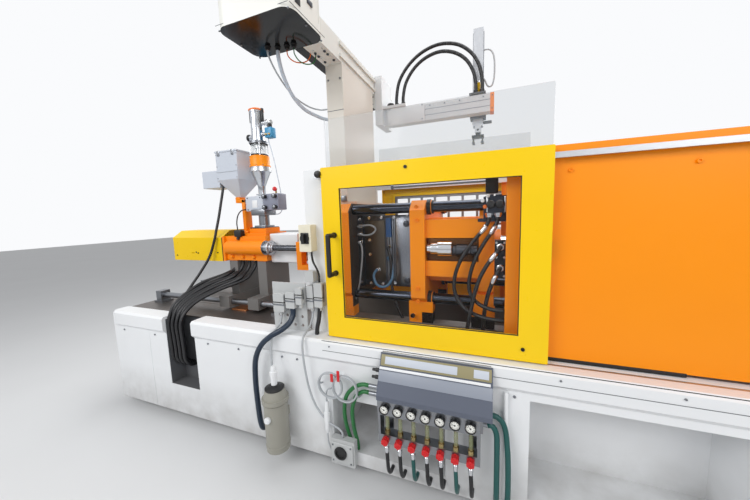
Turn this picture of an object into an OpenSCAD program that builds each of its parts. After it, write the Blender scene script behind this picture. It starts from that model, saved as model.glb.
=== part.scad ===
// Injection moulding machine with a linear robot, in millimetres.
// X runs along the machine towards the clamp, Y towards its back and Z up, from the floor.

/* [Base] */
// length of the welded base
base_l = 4880; // [4800:10:5000]
// depth of the welded base, front to back
base_w = 1200; // [1180:10:1240]
// height of the injection axis above the floor
axis_h = 1370; // [1360:5:1400]
// distance of the injection axis in front of the frame's middle
axis_front = 60; // [40:5:80]
// height of the levelling feet
foot_h = 60; // [50:5:70]
// diameter of a foot's pad
foot_pad_d = 120; // [100:5:140]
// top of the low part of the base, under the clamp
bed_top = 740; // [735:1:744]
// height of the open bay under the mould
bay_h = 340; // [320:10:400]
// length of the open bay under the mould
bay_l = 700; // [660:10:740]
// length of the service bay under the clamp
service_l = 830; // [780:10:860]

/* [Shelf] */
// top of the white shelf along the front
shelf_top = 864; // [860:1:866]
// depth of the shelf's flat top
shelf_w = 140; // [130:5:144]
// height of the shelf's front face
shelf_h = 124; // [115:1:130]
// how far the shelf stands out in front of the base
shelf_out = 25; // [20:1:30]
// length of the notch that lets the hoses down
notch_l = 320; // [300:10:340]

/* [Clamp] */
// height of a platen
platen_h = 660; // [650:10:680]
// width of a platen, front to back
platen_w = 730; // [720:10:750]
// thickness of the fixed platen
fixed_t = 220; // [200:5:230]
// distance of a tie bar's axis from the platen's sides
tie_inset_y = 80; // [76:1:86]
// distance of a tie bar's axis from the platen's top and underside
tie_inset_z = 43; // [40:1:60]
// diameter of a tie bar
tie_d = 65; // [60:1:70]
// length of the closed mould
mould_l = 410; // [400:5:420]
// width of the mould, front to back
mould_w = 400; // [380:10:420]
// height of the mould
mould_h = 500; // [460:10:520]
// opening stroke of the clamp
stroke = 400; // [380:10:420]
// diameter of the clamp ram
ram_d = 180; // [170:5:190]
// diameter of the clamp cylinder
cylinder_d = 340; // [320:10:360]
// thickness of the cylinder platen
cyl_platen_t = 220; // [200:5:230]

/* [Door] */
// width of the sliding door
door_w = 1211; // [1195:1:1220]
// height of the sliding door
door_h = 1034; // [1020:1:1045]
// depth of the door's folded frame
door_d = 56; // [50:1:58]
// sheet thickness of the door
door_t = 3; // [2:0.5:4]
// width of the window
window_w = 964; // [940:2:980]
// height of the window
window_h = 780; // [760:2:800]
// thickness of the window pane
pane_t = 8; // [6:1:10]
// height of the door handle
handle_h = 230; // [200:5:250]
// how far the handle stands out
handle_out = 80; // [70:1:90]
// height of the clear guard above the door
top_guard_h = 290; // [270:5:300]

/* [Injection unit] */
// length of the orange casting
casting_l = 465; // [450:5:470]
// length of the yellow cover
cover_l = 626; // [610:1:640]
// width of casting and cover, front to back
unit_w = 370; // [360:2:380]
// height of the yellow cover's front face
cover_h = 210; // [200:2:216]
// diameter of the barrel
barrel_d = 110; // [100:2:120]
// diameter of the screw
screw_d = 45; // [40:1:50]
// diameter of a carriage cylinder rod
carriage_rod_d = 48; // [40:1:50]
// distance between the carriage rods
carriage_rod_span = 340; // [330:2:342]
// diameter of a guide bar
guide_bar_d = 50; // [45:1:55]
// distance between the guide bars
guide_bar_span = 480; // [470:5:490]
// top diameter of the hopper
hopper_d = 264; // [250:2:270]
// height of the hopper cone
hopper_h = 180; // [170:2:190]
// diameter of the loader
loader_d = 156; // [150:2:160]

/* [Cooling water] */
// number of cooling water circuits
circuits = 7; // [7:7]
// distance between circuits
circuit_pitch = 75; // [72:1:78]
// diameter of a flow gauge
gauge_d = 54; // [48:1:58]
// length of a flow tube
flow_tube_l = 120; // [110:5:126]

/* [Robot] */
// width of column and beam
column_w = 127; // [120:1:135]
// depth of the column
column_l = 565; // [540:5:580]
// length of the beam
beam_l = 1365; // [1350:5:1380]
// height of the beam
beam_h = 143; // [135:1:150]
// height of the beam's underside above the floor
beam_z = 2657; // [2640:1:2680]
// length of the kick arm
kick_l = 830; // [810:5:850]
// height of the kick arm
kick_h = 134; // [125:1:140]
// length of the vertical arm
varm_l = 760; // [740:5:780]

/* [Hidden] */
$fn = 48;

// stations along the machine
ax_y = -axis_front;
bx0 = -base_l / 2;
bx1 = base_l / 2;
by0 = ax_y - base_w / 2;
by1 = ax_y + base_w / 2;
platen_x1 = -200;
platen_x0 = platen_x1 - fixed_t;
bay_x0 = platen_x1 - 50;
door_x0 = -276;
door_x1 = door_x0 + door_w;
door_y0 = by0 + 38;
door_y1 = door_y0 + door_d;
win_x = door_x0 + 116;
door_z0 = shelf_top + 8;
door_z1 = door_z0 + door_h;
win_z = door_z0 + 128;
handle_z0 = axis_h - 93;
panel_y = door_y1 + 8;
panel_z0 = shelf_top + 16;
panel_top = door_z1 + 6;
header_z0 = door_z1 - 64;
guard_x0 = -450;
guard_x1 = -312;
guard_y = by0 + 115;
post_x0 = 743;
post_w = 63;
rail_top = door_z1 - 30;
deck_z = shelf_top - 14;
shelf_y0 = by0 - shelf_out;
shelf_y1 = shelf_y0 + shelf_w;
shelf_x0 = bx0 + 20;
notch_x1 = -1440;
notch_x0 = notch_x1 - notch_l;
rail_z = axis_h - platen_h / 2 - 105;
rail_y = 300;
bay_z0 = 150;
service_x0 = 860;
foot_xs = [bx0 + 200, -1400, -480, 1030, bx1 - 200];
foot_y = base_w / 2 - 120;
beam_ledge_z = shelf_top - shelf_h + 60;
platen_z0 = axis_h - platen_h / 2;
platen_z1 = axis_h + platen_h / 2;
corner_y = platen_w / 2 - tie_inset_y;
corner_z = platen_h / 2 - tie_inset_z;
corner_ys = [-corner_y, corner_y];
corner_zs = [-corner_z, corner_z];

// clamp stations
plate_t = 90;
parting_x = platen_x1 + mould_l / 2;
mp_x0 = platen_x1 + mould_l;
mp_x1 = mp_x0 + plate_t;
rear_t = 83;
mp_x3 = mp_x0 + 480;
mp_x2 = mp_x3 - rear_t;
valve_y = ax_y - 410;
cyl_x0 = mp_x3 + stroke + 90;
cyl_x1 = cyl_x0 + cyl_platen_t;
cyl_end = cyl_x1 + 620;
nut_d = 96;
nut_t = 60;
slide_gap = 0.3;
run_gap = 0.05;
eject_rod_d = 30;

// injection stations
cast_x1 = -1070;
cast_x0 = cast_x1 - casting_l;
cover_x0 = cast_x0 - cover_l;
cover_z0 = axis_h - 115;
barrel_end = -372;
gland_l = 46;
barrel_in = casting_l - 150;
barrel_l = barrel_end - cast_x0 - 150;
hopper_x = -1215;
cone_z = axis_h + 483;
glass_z = cone_z + hopper_h + 130;
glass_h = 96;
box_z0 = cone_z + 87;
box_h = 310;
saddle_z = axis_h - 115;
bar_z = deck_z + 68;
bracket_x0 = -745;

// cooling water stations
flow_x0 = 140;
flow_y = -745;
gauge_z = 585;
flow_w = circuit_pitch * (circuits - 1) + 90;
flow_tube_d = 22;
hood_z0 = 618;
hood_z1 = shelf_top - 17;

// robot stations
col_x1 = -291;
col_x0 = col_x1 - column_w;
col_y0 = -245;
beam_y1 = 855;
beam_y0 = beam_y1 - beam_l;
rail_out = 12;
runner_gap = 0.1;
kick_x1 = 680;
kick_z0 = 2401;
kick_y0 = 430;
kick_y1 = 520;
varm_x = 556;
varm_w = 78;
varm_y0 = 548;
varm_z0 = 2330;
tilt_z = varm_z0 - 30;
conduit_z = kick_z0 + kick_h + 8;

// routes of hoses and cables, points chosen by hand
bundle_route = [[-1330, -160, 1267], [-1330, -160, 1215], [-1345, -190, 1160], [-1390, -270, 1095],
  [-1450, -370, 1040], [-1530, -480, 985], [-1610, -580, 930], [-1665, -628, 860], [-1690, -638, 770],
  [-1695, -638, 680], [-1695, -635, 590], [-1694, -628, 520], [-1692, -608, 470], [-1690, -575, 450],
  [-1690, -530.3, 450]];
clamp_routes = [
  [[660, -437, 1609.7], [660, -437, 1572], [640, -440, 1530], [590, -445, 1468], [540, -450, 1398],
   [500, -453, 1320], [478, -456, 1240], [480, -462, 1165], [508, -470, 1105], [560, -490, 1062],
   [640, -518, 1043], [700, -530, 1040], [742.7, -530, 1040]],
  [[704, -437, 1609.7], [704, -437, 1570], [686, -442, 1525], [642, -446, 1455], [602, -448, 1380],
   [572, -450, 1300], [558, -454, 1220], [568, -464, 1155], [612, -490, 1110], [676, -522, 1094],
   [716, -530, 1093], [742.7, -530, 1093]],
  [[720, -450.3, 1425], [720, -480, 1425], [702, -494, 1400], [662, -498, 1345], [622, -502, 1270],
   [594, -508, 1185], [576, -515, 1095], [560, -520, 1010], [548, -520, 930], [545, -520, 840],
   [545, -520, 740.3]],
  [[720, -450.3, 1310], [720, -478, 1310], [704, -490, 1285], [676, -492, 1220], [654, -490, 1140],
   [642, -486, 1060], [636, -480, 980], [634, -476, 900], [634, -475, 820], [634, -475, 740.3]]];
manifold_routes = [
  [[22.7, -700, 636], [-20, -700, 636], [-78, -702, 606], [-130, -698, 540], [-152, -690, 450],
   [-155, -675, 350], [-150, -650, 260], [-146, -634, 205], [-146, -634, 150.3]],
  [[22.7, -700, 592], [-15, -700, 592], [-62, -700, 556], [-92, -694, 480], [-102, -684, 400],
   [-102, -665, 300], [-98, -644, 225], [-97, -634, 180], [-97, -634, 150.3]],
  [[667.3, -720, 560], [690, -720, 560], [709, -721, 520], [712, -726, 440], [712, -732, 340],
   [712, -736, 250], [712, -732, 190], [712, -716, 145], [712, -690, 122], [712, -660.3, 122]],
  [[667.3, -700, 600], [710, -700, 600], [746, -702, 555], [760, -712, 450], [764, -722, 360],
   [765, -728, 260], [765, -726, 200], [765, -712, 155], [765, -688, 132], [765, -660.3, 132]]];
cable_routes = [
  [[-640, -614.5, 1000], [-640, -614.5, 955], [-641, -640, 912], [-644, -680, 890], [-648, -712, 860],
   [-648, -724, 800], [-644, -735, 720], [-634, -748, 650], [-622, -755, 606], [-620, -755, 552.3]],
  [[-417, -572.5, 1030], [-417, -572.5, 985], [-417, -610, 925], [-417, -660, 895], [-417, -700, 865],
   [-416, -712, 790], [-408, -708, 660], [-390, -700, 530], [-350, -694, 420], [-280, -690, 340],
   [-210, -682, 300], [-180, -681, 275], [-180, -681, 240.3]],
  [[-395, -580, 1402], [-395, -580, 1370], [-388, -580, 1332], [-366, -578, 1290], [-355, -573, 1250],
   [-355, -572.5, 1220], [-355, -572.5, 1200]]];
arch_routes = [
  [[-120, 470, 2555.3], [-120, 470, 2640], [-92, 470, 2770], [-8, 470, 2885], [110, 472, 2965],
   [250, 475, 2998], [390, 477, 2970], [498, 479, 2890], [564, 480, 2780], [590, 480, 2660],
   [590, 480, 2557.3]],
  [[-60, 470, 2555.3], [-60, 470, 2635], [-34, 470, 2745], [36, 470, 2845], [132, 472, 2912],
   [250, 475, 2940], [364, 477, 2914], [458, 479, 2846], [516, 480, 2750], [540, 480, 2650],
   [540, 480, 2557.3]]];
column_route = [[-560, -570, 2656.7], [-560, -570, 2600], [-562, -530, 2510], [-560, -450, 2420],
  [-540, -350, 2360], [-500, -250, 2335], [-465, -192, 2325], [-418.3, -192, 2325]];

// point, direction and ring helpers for swept tubes
function unit(v) = v / norm(v);
function heading(p, i) = unit(p[min(i + 1, len(p) - 1)] - p[max(i - 1, 0)]);
function side_of(t) = unit(cross(t, abs(t[2]) > 0.9 ? [0, 1, 0.1] : [0, 0, 1]));
function carried(p, i) = i == 0 ? side_of(heading(p, 0))
  : let (t = heading(p, i), u = carried(p, i - 1)) unit(u - t * (u * t));
function ring(c, t, u, r, n) = [for (k = [0:n - 1]) c + r * (cos(360 * k / n) * u
  + sin(360 * k / n) * cross(t, u))];

// tube of diameter d swept along points p with n sides
module tube(p, d, n = 8) {
  m = len(p);
  pts = [for (i = [0:m - 1]) each ring(p[i], heading(p, i), carried(p, i), d / 2, n)];
  sides = [for (i = [0:m - 2]) for (k = [0:n - 1])
    [(i + 1) * n + k, (i + 1) * n + (k + 1) % n, i * n + (k + 1) % n, i * n + k]];
  near_end = [for (k = [0:n - 1]) k];
  far_end = [for (k = [0:n - 1]) m * n - 1 - k];
  polyhedron(pts, concat(sides, [near_end, far_end]), convexity = 6);
}

// box between two corners
module span(a, b) {
  translate(a) cube(b - a);
}

// rods along the three axes, from a start point
module rod_x(p, l, d) {
  translate(p) rotate([0, 90, 0]) cylinder(h = l, d = d);
}

module rod_y(p, l, d) {
  translate(p) rotate([-90, 0, 0]) cylinder(h = l, d = d);
}

module rod_z(p, l, d) {
  translate(p) cylinder(h = l, d = d);
}

// rectangle with round corners
module rounded(w, h, r) {
  translate([r, 0]) square([w - 2 * r, h]);
  translate([0, r]) square([w, h - 2 * r]);
  for (x = [r, w - r], y = [r, h - r]) translate([x, y]) circle(r);
}

// rounded plate that faces along Y, from a low corner
module plate_y(p, w, h, t, r) {
  translate(p + [0, t, 0]) rotate([90, 0, 0]) linear_extrude(t) rounded(w, h, r);
}

// rounded plate that faces along X
module plate_x(p, w, h, t, r) {
  translate(p) rotate([90, 0, 90]) linear_extrude(t) rounded(w, h, r);
}

// hexagonal nut or bolt head along X
module hex_x(p, l, d) {
  translate(p) rotate([0, 90, 0]) cylinder(h = l, d = d, $fn = 6);
}

// copy to the other side of the injection axis
module both_sides() {
  children();
  translate([0, 2 * ax_y, 0]) mirror([0, 1, 0]) children();
}

module base_frame() {
  color([0.88, 0.89, 0.9]) difference() {
    union() {
      span([bx0, by0, foot_h], [bx1, by1, bed_top]);
      span([bx0, by0, bed_top - 1], [platen_x0 - 60, by1, deck_z - 8]);
      both_sides() span([platen_x0 - 61, ax_y - rail_y - 45, bed_top - 1],
        [bx1 - 60, ax_y - rail_y + 45, rail_z]);
      both_sides() span([platen_x0 - 61, by0, bed_top - 1], [bx1, by0 + 70, beam_ledge_z]);
      span([bx1 - 40, by0, bed_top - 1], [bx1, by1, deck_z - 8]);
    }
    // product bay under the mould, and the chute down into it
    span([bay_x0, by0 - 10, bay_z0], [bay_x0 + bay_l, by1 + 10, bay_z0 + bay_h]);
    span([bay_x0 + 60, ax_y - 240, bay_z0 + bay_h - 10], [bay_x0 + bay_l - 60, ax_y + 240, bed_top + 10]);
    // service bay with the hydraulic hoses
    span([service_x0, by0 - 10, bay_z0], [service_x0 + service_l, by0 + 300, bed_top - 50]);
    // notch that the hose bundle drops into
    span([notch_x0, by0 - 10, 300], [notch_x1, by0 + 130, deck_z]);
    // seams of the base panels
    for (x = [notch_x0 - 220, -700, 1990]) span([x, by0 - 1, foot_h - 1], [x + 5, by0 + 2, bed_top - 30]);
    // anchor holes in the bottom
    for (x = foot_xs, s = [-1, 1]) rod_z([x, ax_y + s * foot_y, foot_h - 1], 80, 26);
  }
}

module aprons() {
  color([0.92, 0.93, 0.94]) difference() {
    both_sides() intersection() {
      translate([shelf_x0, 0, 0]) rotate([90, 0, 90]) linear_extrude(bx1 - shelf_x0)
        polygon([[shelf_y1, shelf_top], [shelf_y0 + 16, shelf_top], [shelf_y0, shelf_top - 16],
          [shelf_y0, shelf_top - shelf_h + 14], [by0, shelf_top - shelf_h - 12], [by0, deck_z - 8],
          [shelf_y1, deck_z - 8]]);
      translate([shelf_x0, shelf_y0, 0]) linear_extrude(1000)
        rounded(bx1 - shelf_x0 + 80, shelf_w + 80, 70);
    }
    span([notch_x0, shelf_y0 - 1, 0], [notch_x1, shelf_y1 + 1, 1000]);
    // track for the door's lower guide
    both_sides() span([door_x0 - 20, door_y0 + 14, shelf_top - 6], [bx1 - 80, door_y0 + 34, shelf_top + 1]);
  }
}

module deck_plate() {
  color([0.62, 0.64, 0.66]) {
    difference() {
      span([bx0 + 10, shelf_y1, deck_z - 8], [platen_x0 - 62, 2 * ax_y - shelf_y1, deck_z]);
      // drain grooves in the sheet
      for (y = [-170, 0, 170]) span([bx0 + 60, ax_y + y - 3, deck_z - 2],
        [platen_x0 - 120, ax_y + y + 3, deck_z + 1]);
    }
  }
}

module leveling_feet() {
  color([0.3, 0.31, 0.33]) for (x = foot_xs, s = [-1, 1]) translate([x, ax_y + s * foot_y, 0]) {
    cylinder(h = 14, d = foot_pad_d);
    translate([0, 0, 14]) cylinder(h = 10, d = foot_pad_d * 0.6);
    translate([0, 0, 24]) cylinder(h = foot_h - 24, d = 46, $fn = 6);
    translate([0, 0, foot_h]) cylinder(h = 40, d = 24);
  }
}

module guide_bars() {
  color([0.75, 0.76, 0.78]) for (s = [-1, 1]) {
    rod_x([bx0 + 160, ax_y + s * guide_bar_span / 2, bar_z], -935 - bx0 - 160, guide_bar_d);
    for (x = [bx0 + 100, -937]) translate([x, ax_y + s * guide_bar_span / 2 - 45, deck_z]) {
      cube([70, 90, bar_z - deck_z + 42]);
      translate([-20, -10, 0]) cube([110, 110, 18]);
    }
  }
}

// platen plate with chamfered corners, holes for the tie bars
module platen_plate(x, t, w, h, zc) {
  c = 60;
  translate([x, ax_y, zc]) rotate([90, 0, 90]) linear_extrude(t)
    polygon([[-w / 2 + c, -h / 2], [w / 2 - c, -h / 2], [w / 2, -h / 2 + c], [w / 2, h / 2 - c],
      [w / 2 - c, h / 2], [-w / 2 + c, h / 2], [-w / 2, h / 2 - c], [-w / 2, -h / 2 + c]]);
}

module tie_holes(x, l, d) {
  for (y = corner_ys, z = corner_zs) rod_x([x, ax_y + y, axis_h + z], l, d);
}

// foot of a platen on the bed rails
module platen_feet(x, l, lift) {
  for (s = [-1, 1]) translate([x, ax_y + s * rail_y, 0]) {
    span([0, -40, rail_z + lift], [l, 40, platen_z0 + 30]);
    for (dx = [25, l - 25]) rod_y([dx, -46, rail_z + 45], 92, 24);
  }
}

// threaded mounting holes for a mould, on the face at x
module mould_holes(x, l) {
  for (y = [-280, -210, 210, 280], z = [-210, -105, 105, 210]) if (abs(y) < 270 || abs(z) < 200)
    rod_x([x, ax_y + y, axis_h + z], l, 16);
  for (y = [-140, 0, 140], z = [-285, 285]) rod_x([x, ax_y + y, axis_h + z], l, 16);
}

module fixed_platen() {
  color([0.96, 0.45, 0.08]) difference() {
    union() {
      platen_plate(platen_x1 - 70, 70, platen_w, platen_h, axis_h);
      platen_plate(platen_x0, 40, platen_w - 40, platen_h - 40, axis_h);
      for (y = corner_ys, z = corner_zs) rod_x([platen_x0, ax_y + y, axis_h + z], fixed_t - 1, 84);
      rod_x([platen_x0, ax_y, axis_h], fixed_t - 1, 300);
      for (y = [-1, 1]) span([platen_x0 + 1, ax_y + y * 170 - 15, platen_z0 + 30],
        [platen_x1 - 1, ax_y + y * 170 + 15, platen_z1]);
      for (z = [-1, 1]) span([platen_x0 + 1, ax_y - platen_w / 2 + 40, axis_h + z * 150 - 15],
        [platen_x1 - 1, ax_y + platen_w / 2 - 40, axis_h + z * 150 + 15]);
      span([platen_x0, col_y0, platen_z1 - 60], [platen_x1 - 20, col_y0 + column_l, platen_z1]);
      platen_feet(platen_x0, fixed_t, 0);
    }
    tie_holes(platen_x0 - 5, fixed_t + 10, tie_d);
    rod_x([platen_x0 - 5, ax_y, axis_h], fixed_t + 10, 150);
    translate([platen_x0 - 1, ax_y, axis_h]) rotate([0, 90, 0]) cylinder(h = 100, d1 = 250, d2 = 150);
    mould_holes(platen_x1 - 30, 31);
  }
}

module tie_bars() {
  color([0.8, 0.81, 0.83]) for (y = corner_ys, z = corner_zs)
    rod_x([platen_x0 - nut_t - 15, ax_y + y, axis_h + z], cyl_x1 - platen_x0 + 2 * nut_t + 30, tie_d);
}

module tie_nuts() {
  color([0.16, 0.17, 0.19]) for (y = corner_ys, z = corner_zs, x = [platen_x0 - nut_t, cyl_x0 - 40, cyl_x1])
    difference() {
      l = x == cyl_x0 - 40 ? 40 : nut_t;
      rod_x([x, ax_y + y, axis_h + z], l, nut_d);
      rod_x([x - 1, ax_y + y, axis_h + z], l + 2, tie_d);
      if (l == nut_t) for (a = [0:60:300]) translate([x - 1, ax_y + y, axis_h + z]) rotate([a, 0, 0])
        translate([0, nut_d / 2, 0]) rotate([0, 90, 0]) cylinder(h = l + 2, d = 14);
    }
}

module clamp_cylinder() {
  color([0.96, 0.45, 0.08]) difference() {
    union() {
      platen_plate(cyl_x0, cyl_platen_t, platen_w, platen_h, axis_h);
      platen_feet(cyl_x0, cyl_platen_t, 0);
      rod_x([cyl_x1 - 1, ax_y, axis_h], cyl_end - cyl_x1, cylinder_d);
      rod_x([cyl_x1 - 1, ax_y, axis_h], 60, cylinder_d + 90);
      rod_x([cyl_end - 70, ax_y, axis_h], 70, cylinder_d + 60);
      for (a = [0:30:330]) translate([cyl_end, ax_y, axis_h]) rotate([a, 0, 0])
        hex_x([-1, 0, cylinder_d / 2 + 2], 24, 36);
      span([cyl_x1 + 120, ax_y - 90, axis_h + 100], [cyl_x1 + 330, ax_y + 90, axis_h + 290]);
    }
    tie_holes(cyl_x0 - 5, cyl_platen_t + 10, tie_d);
    rod_x([cyl_x0 - 1, ax_y, axis_h], cyl_end - cyl_x0 - 60, ram_d + 2 * run_gap);
    for (s = [-1, 1]) span([cyl_x0 + 60, ax_y + s * 365 - 30, axis_h - 160],
      [cyl_x1 - 60, ax_y + s * 365 + 30, axis_h + 160]);
  }
}

module mould_fixed() {
  color([0.36, 0.37, 0.4]) difference() {
    union() {
      span([platen_x1, ax_y - mould_w / 2 - 25, axis_h - mould_h / 2],
        [platen_x1 + 36, ax_y + mould_w / 2 + 25, axis_h + mould_h / 2]);
      span([platen_x1 + 36, ax_y - mould_w / 2, axis_h - mould_h / 2 + 6],
        [parting_x, ax_y + mould_w / 2, axis_h + mould_h / 2 - 6]);
      rod_x([platen_x1 - 12, ax_y, axis_h], 13, 125);
    }
    // seat for the nozzle and the sprue
    rod_x([platen_x1 - 13, ax_y, axis_h], 20, 60);
    rod_x([platen_x1, ax_y, axis_h], 120, 8);
    span([parting_x - 45, ax_y - 110, axis_h - 130], [parting_x + 1, ax_y + 110, axis_h + 130]);
    mould_sides(platen_x1 + 36, parting_x);
  }
}

// plate seams and water ports on a mould half
module mould_sides(x0, x1) {
  for (s = [-1, 1]) {
    span([(x0 + x1) / 2 - 1.5, ax_y + s * mould_w / 2 - 3, axis_h - mould_h / 2],
      [(x0 + x1) / 2 + 1.5, ax_y + s * mould_w / 2 + 3, axis_h + mould_h / 2]);
    for (z = [-150, -60, 60, 150]) rod_y([x1 - 40, ax_y + s * mould_w / 2 - 20, axis_h + z], 40, 18);
  }
}

module mould_moving() {
  color([0.33, 0.34, 0.37]) difference() {
    union() {
      span([parting_x, ax_y - mould_w / 2, axis_h - mould_h / 2 + 6],
        [mp_x0 - 36, ax_y + mould_w / 2, axis_h + mould_h / 2 - 6]);
      span([mp_x0 - 36, ax_y - mould_w / 2 - 25, axis_h - mould_h / 2],
        [mp_x0, ax_y + mould_w / 2 + 25, axis_h + mould_h / 2]);
      span([parting_x - 40, ax_y - 100, axis_h - 120], [parting_x + 1, ax_y + 100, axis_h + 120]);
    }
    // space for the ejector plate
    span([mp_x0 - 100, ax_y - 130, axis_h - 180], [mp_x0 - 36, ax_y + 130, axis_h + 180]);
    for (s = [-1, 1]) rod_x([mp_x0 - 40, ax_y + s * 110, axis_h], 50, 40);
    mould_sides(parting_x + 90, mp_x0 - 36);
    for (z = [-150, -60, 60, 150]) rod_y([parting_x + 40, ax_y - mould_w / 2 - 20, axis_h + z], 40, 18);
  }
}

module moving_platen() {
  color([0.96, 0.45, 0.08]) difference() {
    union() {
      platen_plate(mp_x0, plate_t, platen_w, platen_h, axis_h);
      platen_plate(mp_x2, rear_t, platen_w - 60, platen_h - 120, axis_h);
      // cast box between the plates
      for (z = [[axis_h + 100, axis_h + 210], [axis_h - 135, axis_h - 40]]) both_sides()
        span([mp_x1 - 1, ax_y - 335, z[0]], [mp_x2 + 1, ax_y - 190, z[1]]);
      both_sides() span([mp_x1 - 1, ax_y - 200, axis_h - 160], [mp_x2 + 1, ax_y - 170, axis_h + 215]);
      both_sides() for (x = [mp_x1 + 130, mp_x1 + 250]) span([x, ax_y - 320, axis_h - 60],
        [x + 24, ax_y - 190, axis_h + 110]);
      for (z = [-190, 185]) span([mp_x1 - 1, ax_y - 200, axis_h + z], [mp_x2 + 1, ax_y + 200, axis_h + z + 30]);
      for (y = corner_ys, z = corner_zs) rod_x([mp_x1 - 1, ax_y + y, axis_h + z], 34, tie_d + 20);
      platen_feet(mp_x0 - 20, 150, slide_gap);
      platen_feet(mp_x2 - 40, 130, slide_gap);
      for (s = [-1, 1]) span([mp_x2 - 40, ax_y + s * rail_y - 40, platen_z0],
        [mp_x3, ax_y + s * rail_y + 40, axis_h - platen_h / 2 + 100]);
      rod_x([mp_x3 - 1, ax_y, axis_h], 40, ram_d + 80);
      // valve block on its carrier, and the port block under it
      span([mp_x3 - 60, valve_y + 64, platen_z1 - 140], [mp_x3 + 60, valve_y + 76, platen_z1]);
      span([mp_x3 - 50, valve_y, platen_z1 - 90], [mp_x3 + 62, valve_y + 66, platen_z1]);
      for (x = [-24, 18]) rod_z([mp_x3 + x, valve_y + 33, platen_z1 - 1], 9, 34);
      span([mp_x3 - 1, valve_y + 20, axis_h - 120], [mp_x3 + 60, valve_y + 85, axis_h + 90]);
    }
    tie_holes(mp_x0 - 30, 600, tie_d + 2 * slide_gap);
    for (s = [-1, 1]) rod_x([mp_x0 - 1, ax_y + s * 110, axis_h], plate_t + 2, eject_rod_d + 2 * run_gap);
    mould_holes(mp_x0 - 1, 31);
    rod_x([mp_x2 - 1, ax_y, axis_h], 140, ram_d);
  }
}

module clamp_ram() {
  color([0.82, 0.83, 0.85]) {
    rod_x([mp_x2 + 10, ax_y, axis_h], cyl_x0 + 360 - mp_x2, ram_d);
    // ejector cylinder and its rod
    rod_x([mp_x2 - 90, ax_y, axis_h], 101, 90);
  }
}

module ejector() {
  color([0.78, 0.79, 0.81]) {
    span([mp_x2 - 200, ax_y - 150, axis_h - 35], [mp_x2 - 165, ax_y + 150, axis_h + 35]);
    for (s = [-1, 1]) rod_x([mp_x0 - 40, ax_y + s * 110, axis_h], mp_x2 - 160 - mp_x0, eject_rod_d);
    rod_x([mp_x2 - 166, ax_y, axis_h], 70, 50);
    span([mp_x0 - 60, ax_y - 125, axis_h - 40], [mp_x0 - 40, ax_y + 125, axis_h + 40]);
  }
}

module door_frame() {
  color([0.96, 0.83, 0.08]) difference() {
    plate_y([door_x0, door_y0, door_z0], door_w, door_h, door_d, 6);
    span([win_x, door_y0 - 1, win_z], [win_x + window_w, door_y1 + 1, win_z + window_h]);
    // folded sheet: the back is open between the outer and inner flange
    difference() {
      span([door_x0 + door_t, door_y0 + door_t, door_z0 + door_t],
        [door_x1 - door_t, door_y1 + 1, door_z1 - door_t]);
      span([win_x - 22, door_y0, win_z - 22], [win_x + window_w + 22, door_y0 + 24, win_z + window_h + 22]);
    }
    // seat of the pane
    span([win_x - 14, door_y0 + 8, win_z - 14], [win_x + window_w + 14, door_y0 + 8 + pane_t,
      win_z + window_h + 14]);
    for (p = [[door_x0 + 520, door_z1 - 38], [door_x1 - 110, door_z0 + 62]])
      rod_y([p[0], door_y0 - 1, p[1]], 8, 9);
    for (dz = [0, handle_h]) rod_y([door_x0 + 75, door_y0 - 1, handle_z0 + dz], 8, 10);
    rail_slots();
  }
  color([0.96, 0.83, 0.08]) door_shoes();
}

// shoes under a door's top flange, on which it hangs from its rail
module door_shoes() {
  for (x = [door_x0 + 120, door_x1 - 180])
    span([x, door_y0 + 24, rail_top + slide_gap], [x + 60, door_y1 - 6, door_z1 - door_t + 1]);
}

// cut-outs in a door's two end flanges, where its rail passes through
module rail_slots() {
  for (x = [door_x0 - 1, door_x1 - door_t - 1])
    span([x, door_y0 + 22, rail_top - 30], [x + door_t + 2, door_y1 + 1, rail_top + 4]);
}

module door_window() {
  color([0.75, 0.85, 0.88, 0.3]) span([win_x - 14, door_y0 + 8, win_z - 14],
    [win_x + window_w + 14, door_y0 + 8 + pane_t, win_z + window_h + 14]);
}

module door_handle() {
  hx = door_x0 + 75;
  color([0.08, 0.08, 0.09]) {
    for (dz = [0, handle_h]) {
      rod_y([hx, door_y0 - 12, handle_z0 + dz], 12, 34);
      rod_y([hx, door_y0 - 20, handle_z0 + dz], 12, 22);
    }
    translate([hx, door_y0 - 16, handle_z0]) rotate([0, 0, -90]) handle_bow();
  }
}

// bow handle in the plane of X and Z, arms joined to an upright grip
module handle_bow() {
  r = 14;
  l = handle_out - 16;
  for (z = [0, handle_h]) rod_x([0, 0, z], l, 2 * r);
  translate([l, 0, 0]) cylinder(h = handle_h, d = 2 * r);
  for (z = [0, handle_h]) translate([l, 0, z]) sphere(d = 2 * r);
}

module door_rails() {
  color([0.78, 0.79, 0.8]) both_sides() {
    span([door_x0 - 64, door_y0 + 26, rail_top - 26], [bx1 - 120, door_y1 - 6, rail_top]);
    for (x = [door_x1 + 60, 1600, bx1 - 200]) span([x, door_y1 - 7, rail_top - 22],
      [x + 60, panel_y, rail_top - 4]);
    span([door_x0 - 64, door_y1 - 7, rail_top - 22], [door_x0 - 40, guard_y, rail_top - 4]);
  }
  color([0.78, 0.79, 0.8]) both_sides()
    span([door_x0 - 20, door_y0 + 16, shelf_top - 6], [bx1 - 120, door_y0 + 32, shelf_top - 1]);
}

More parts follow.
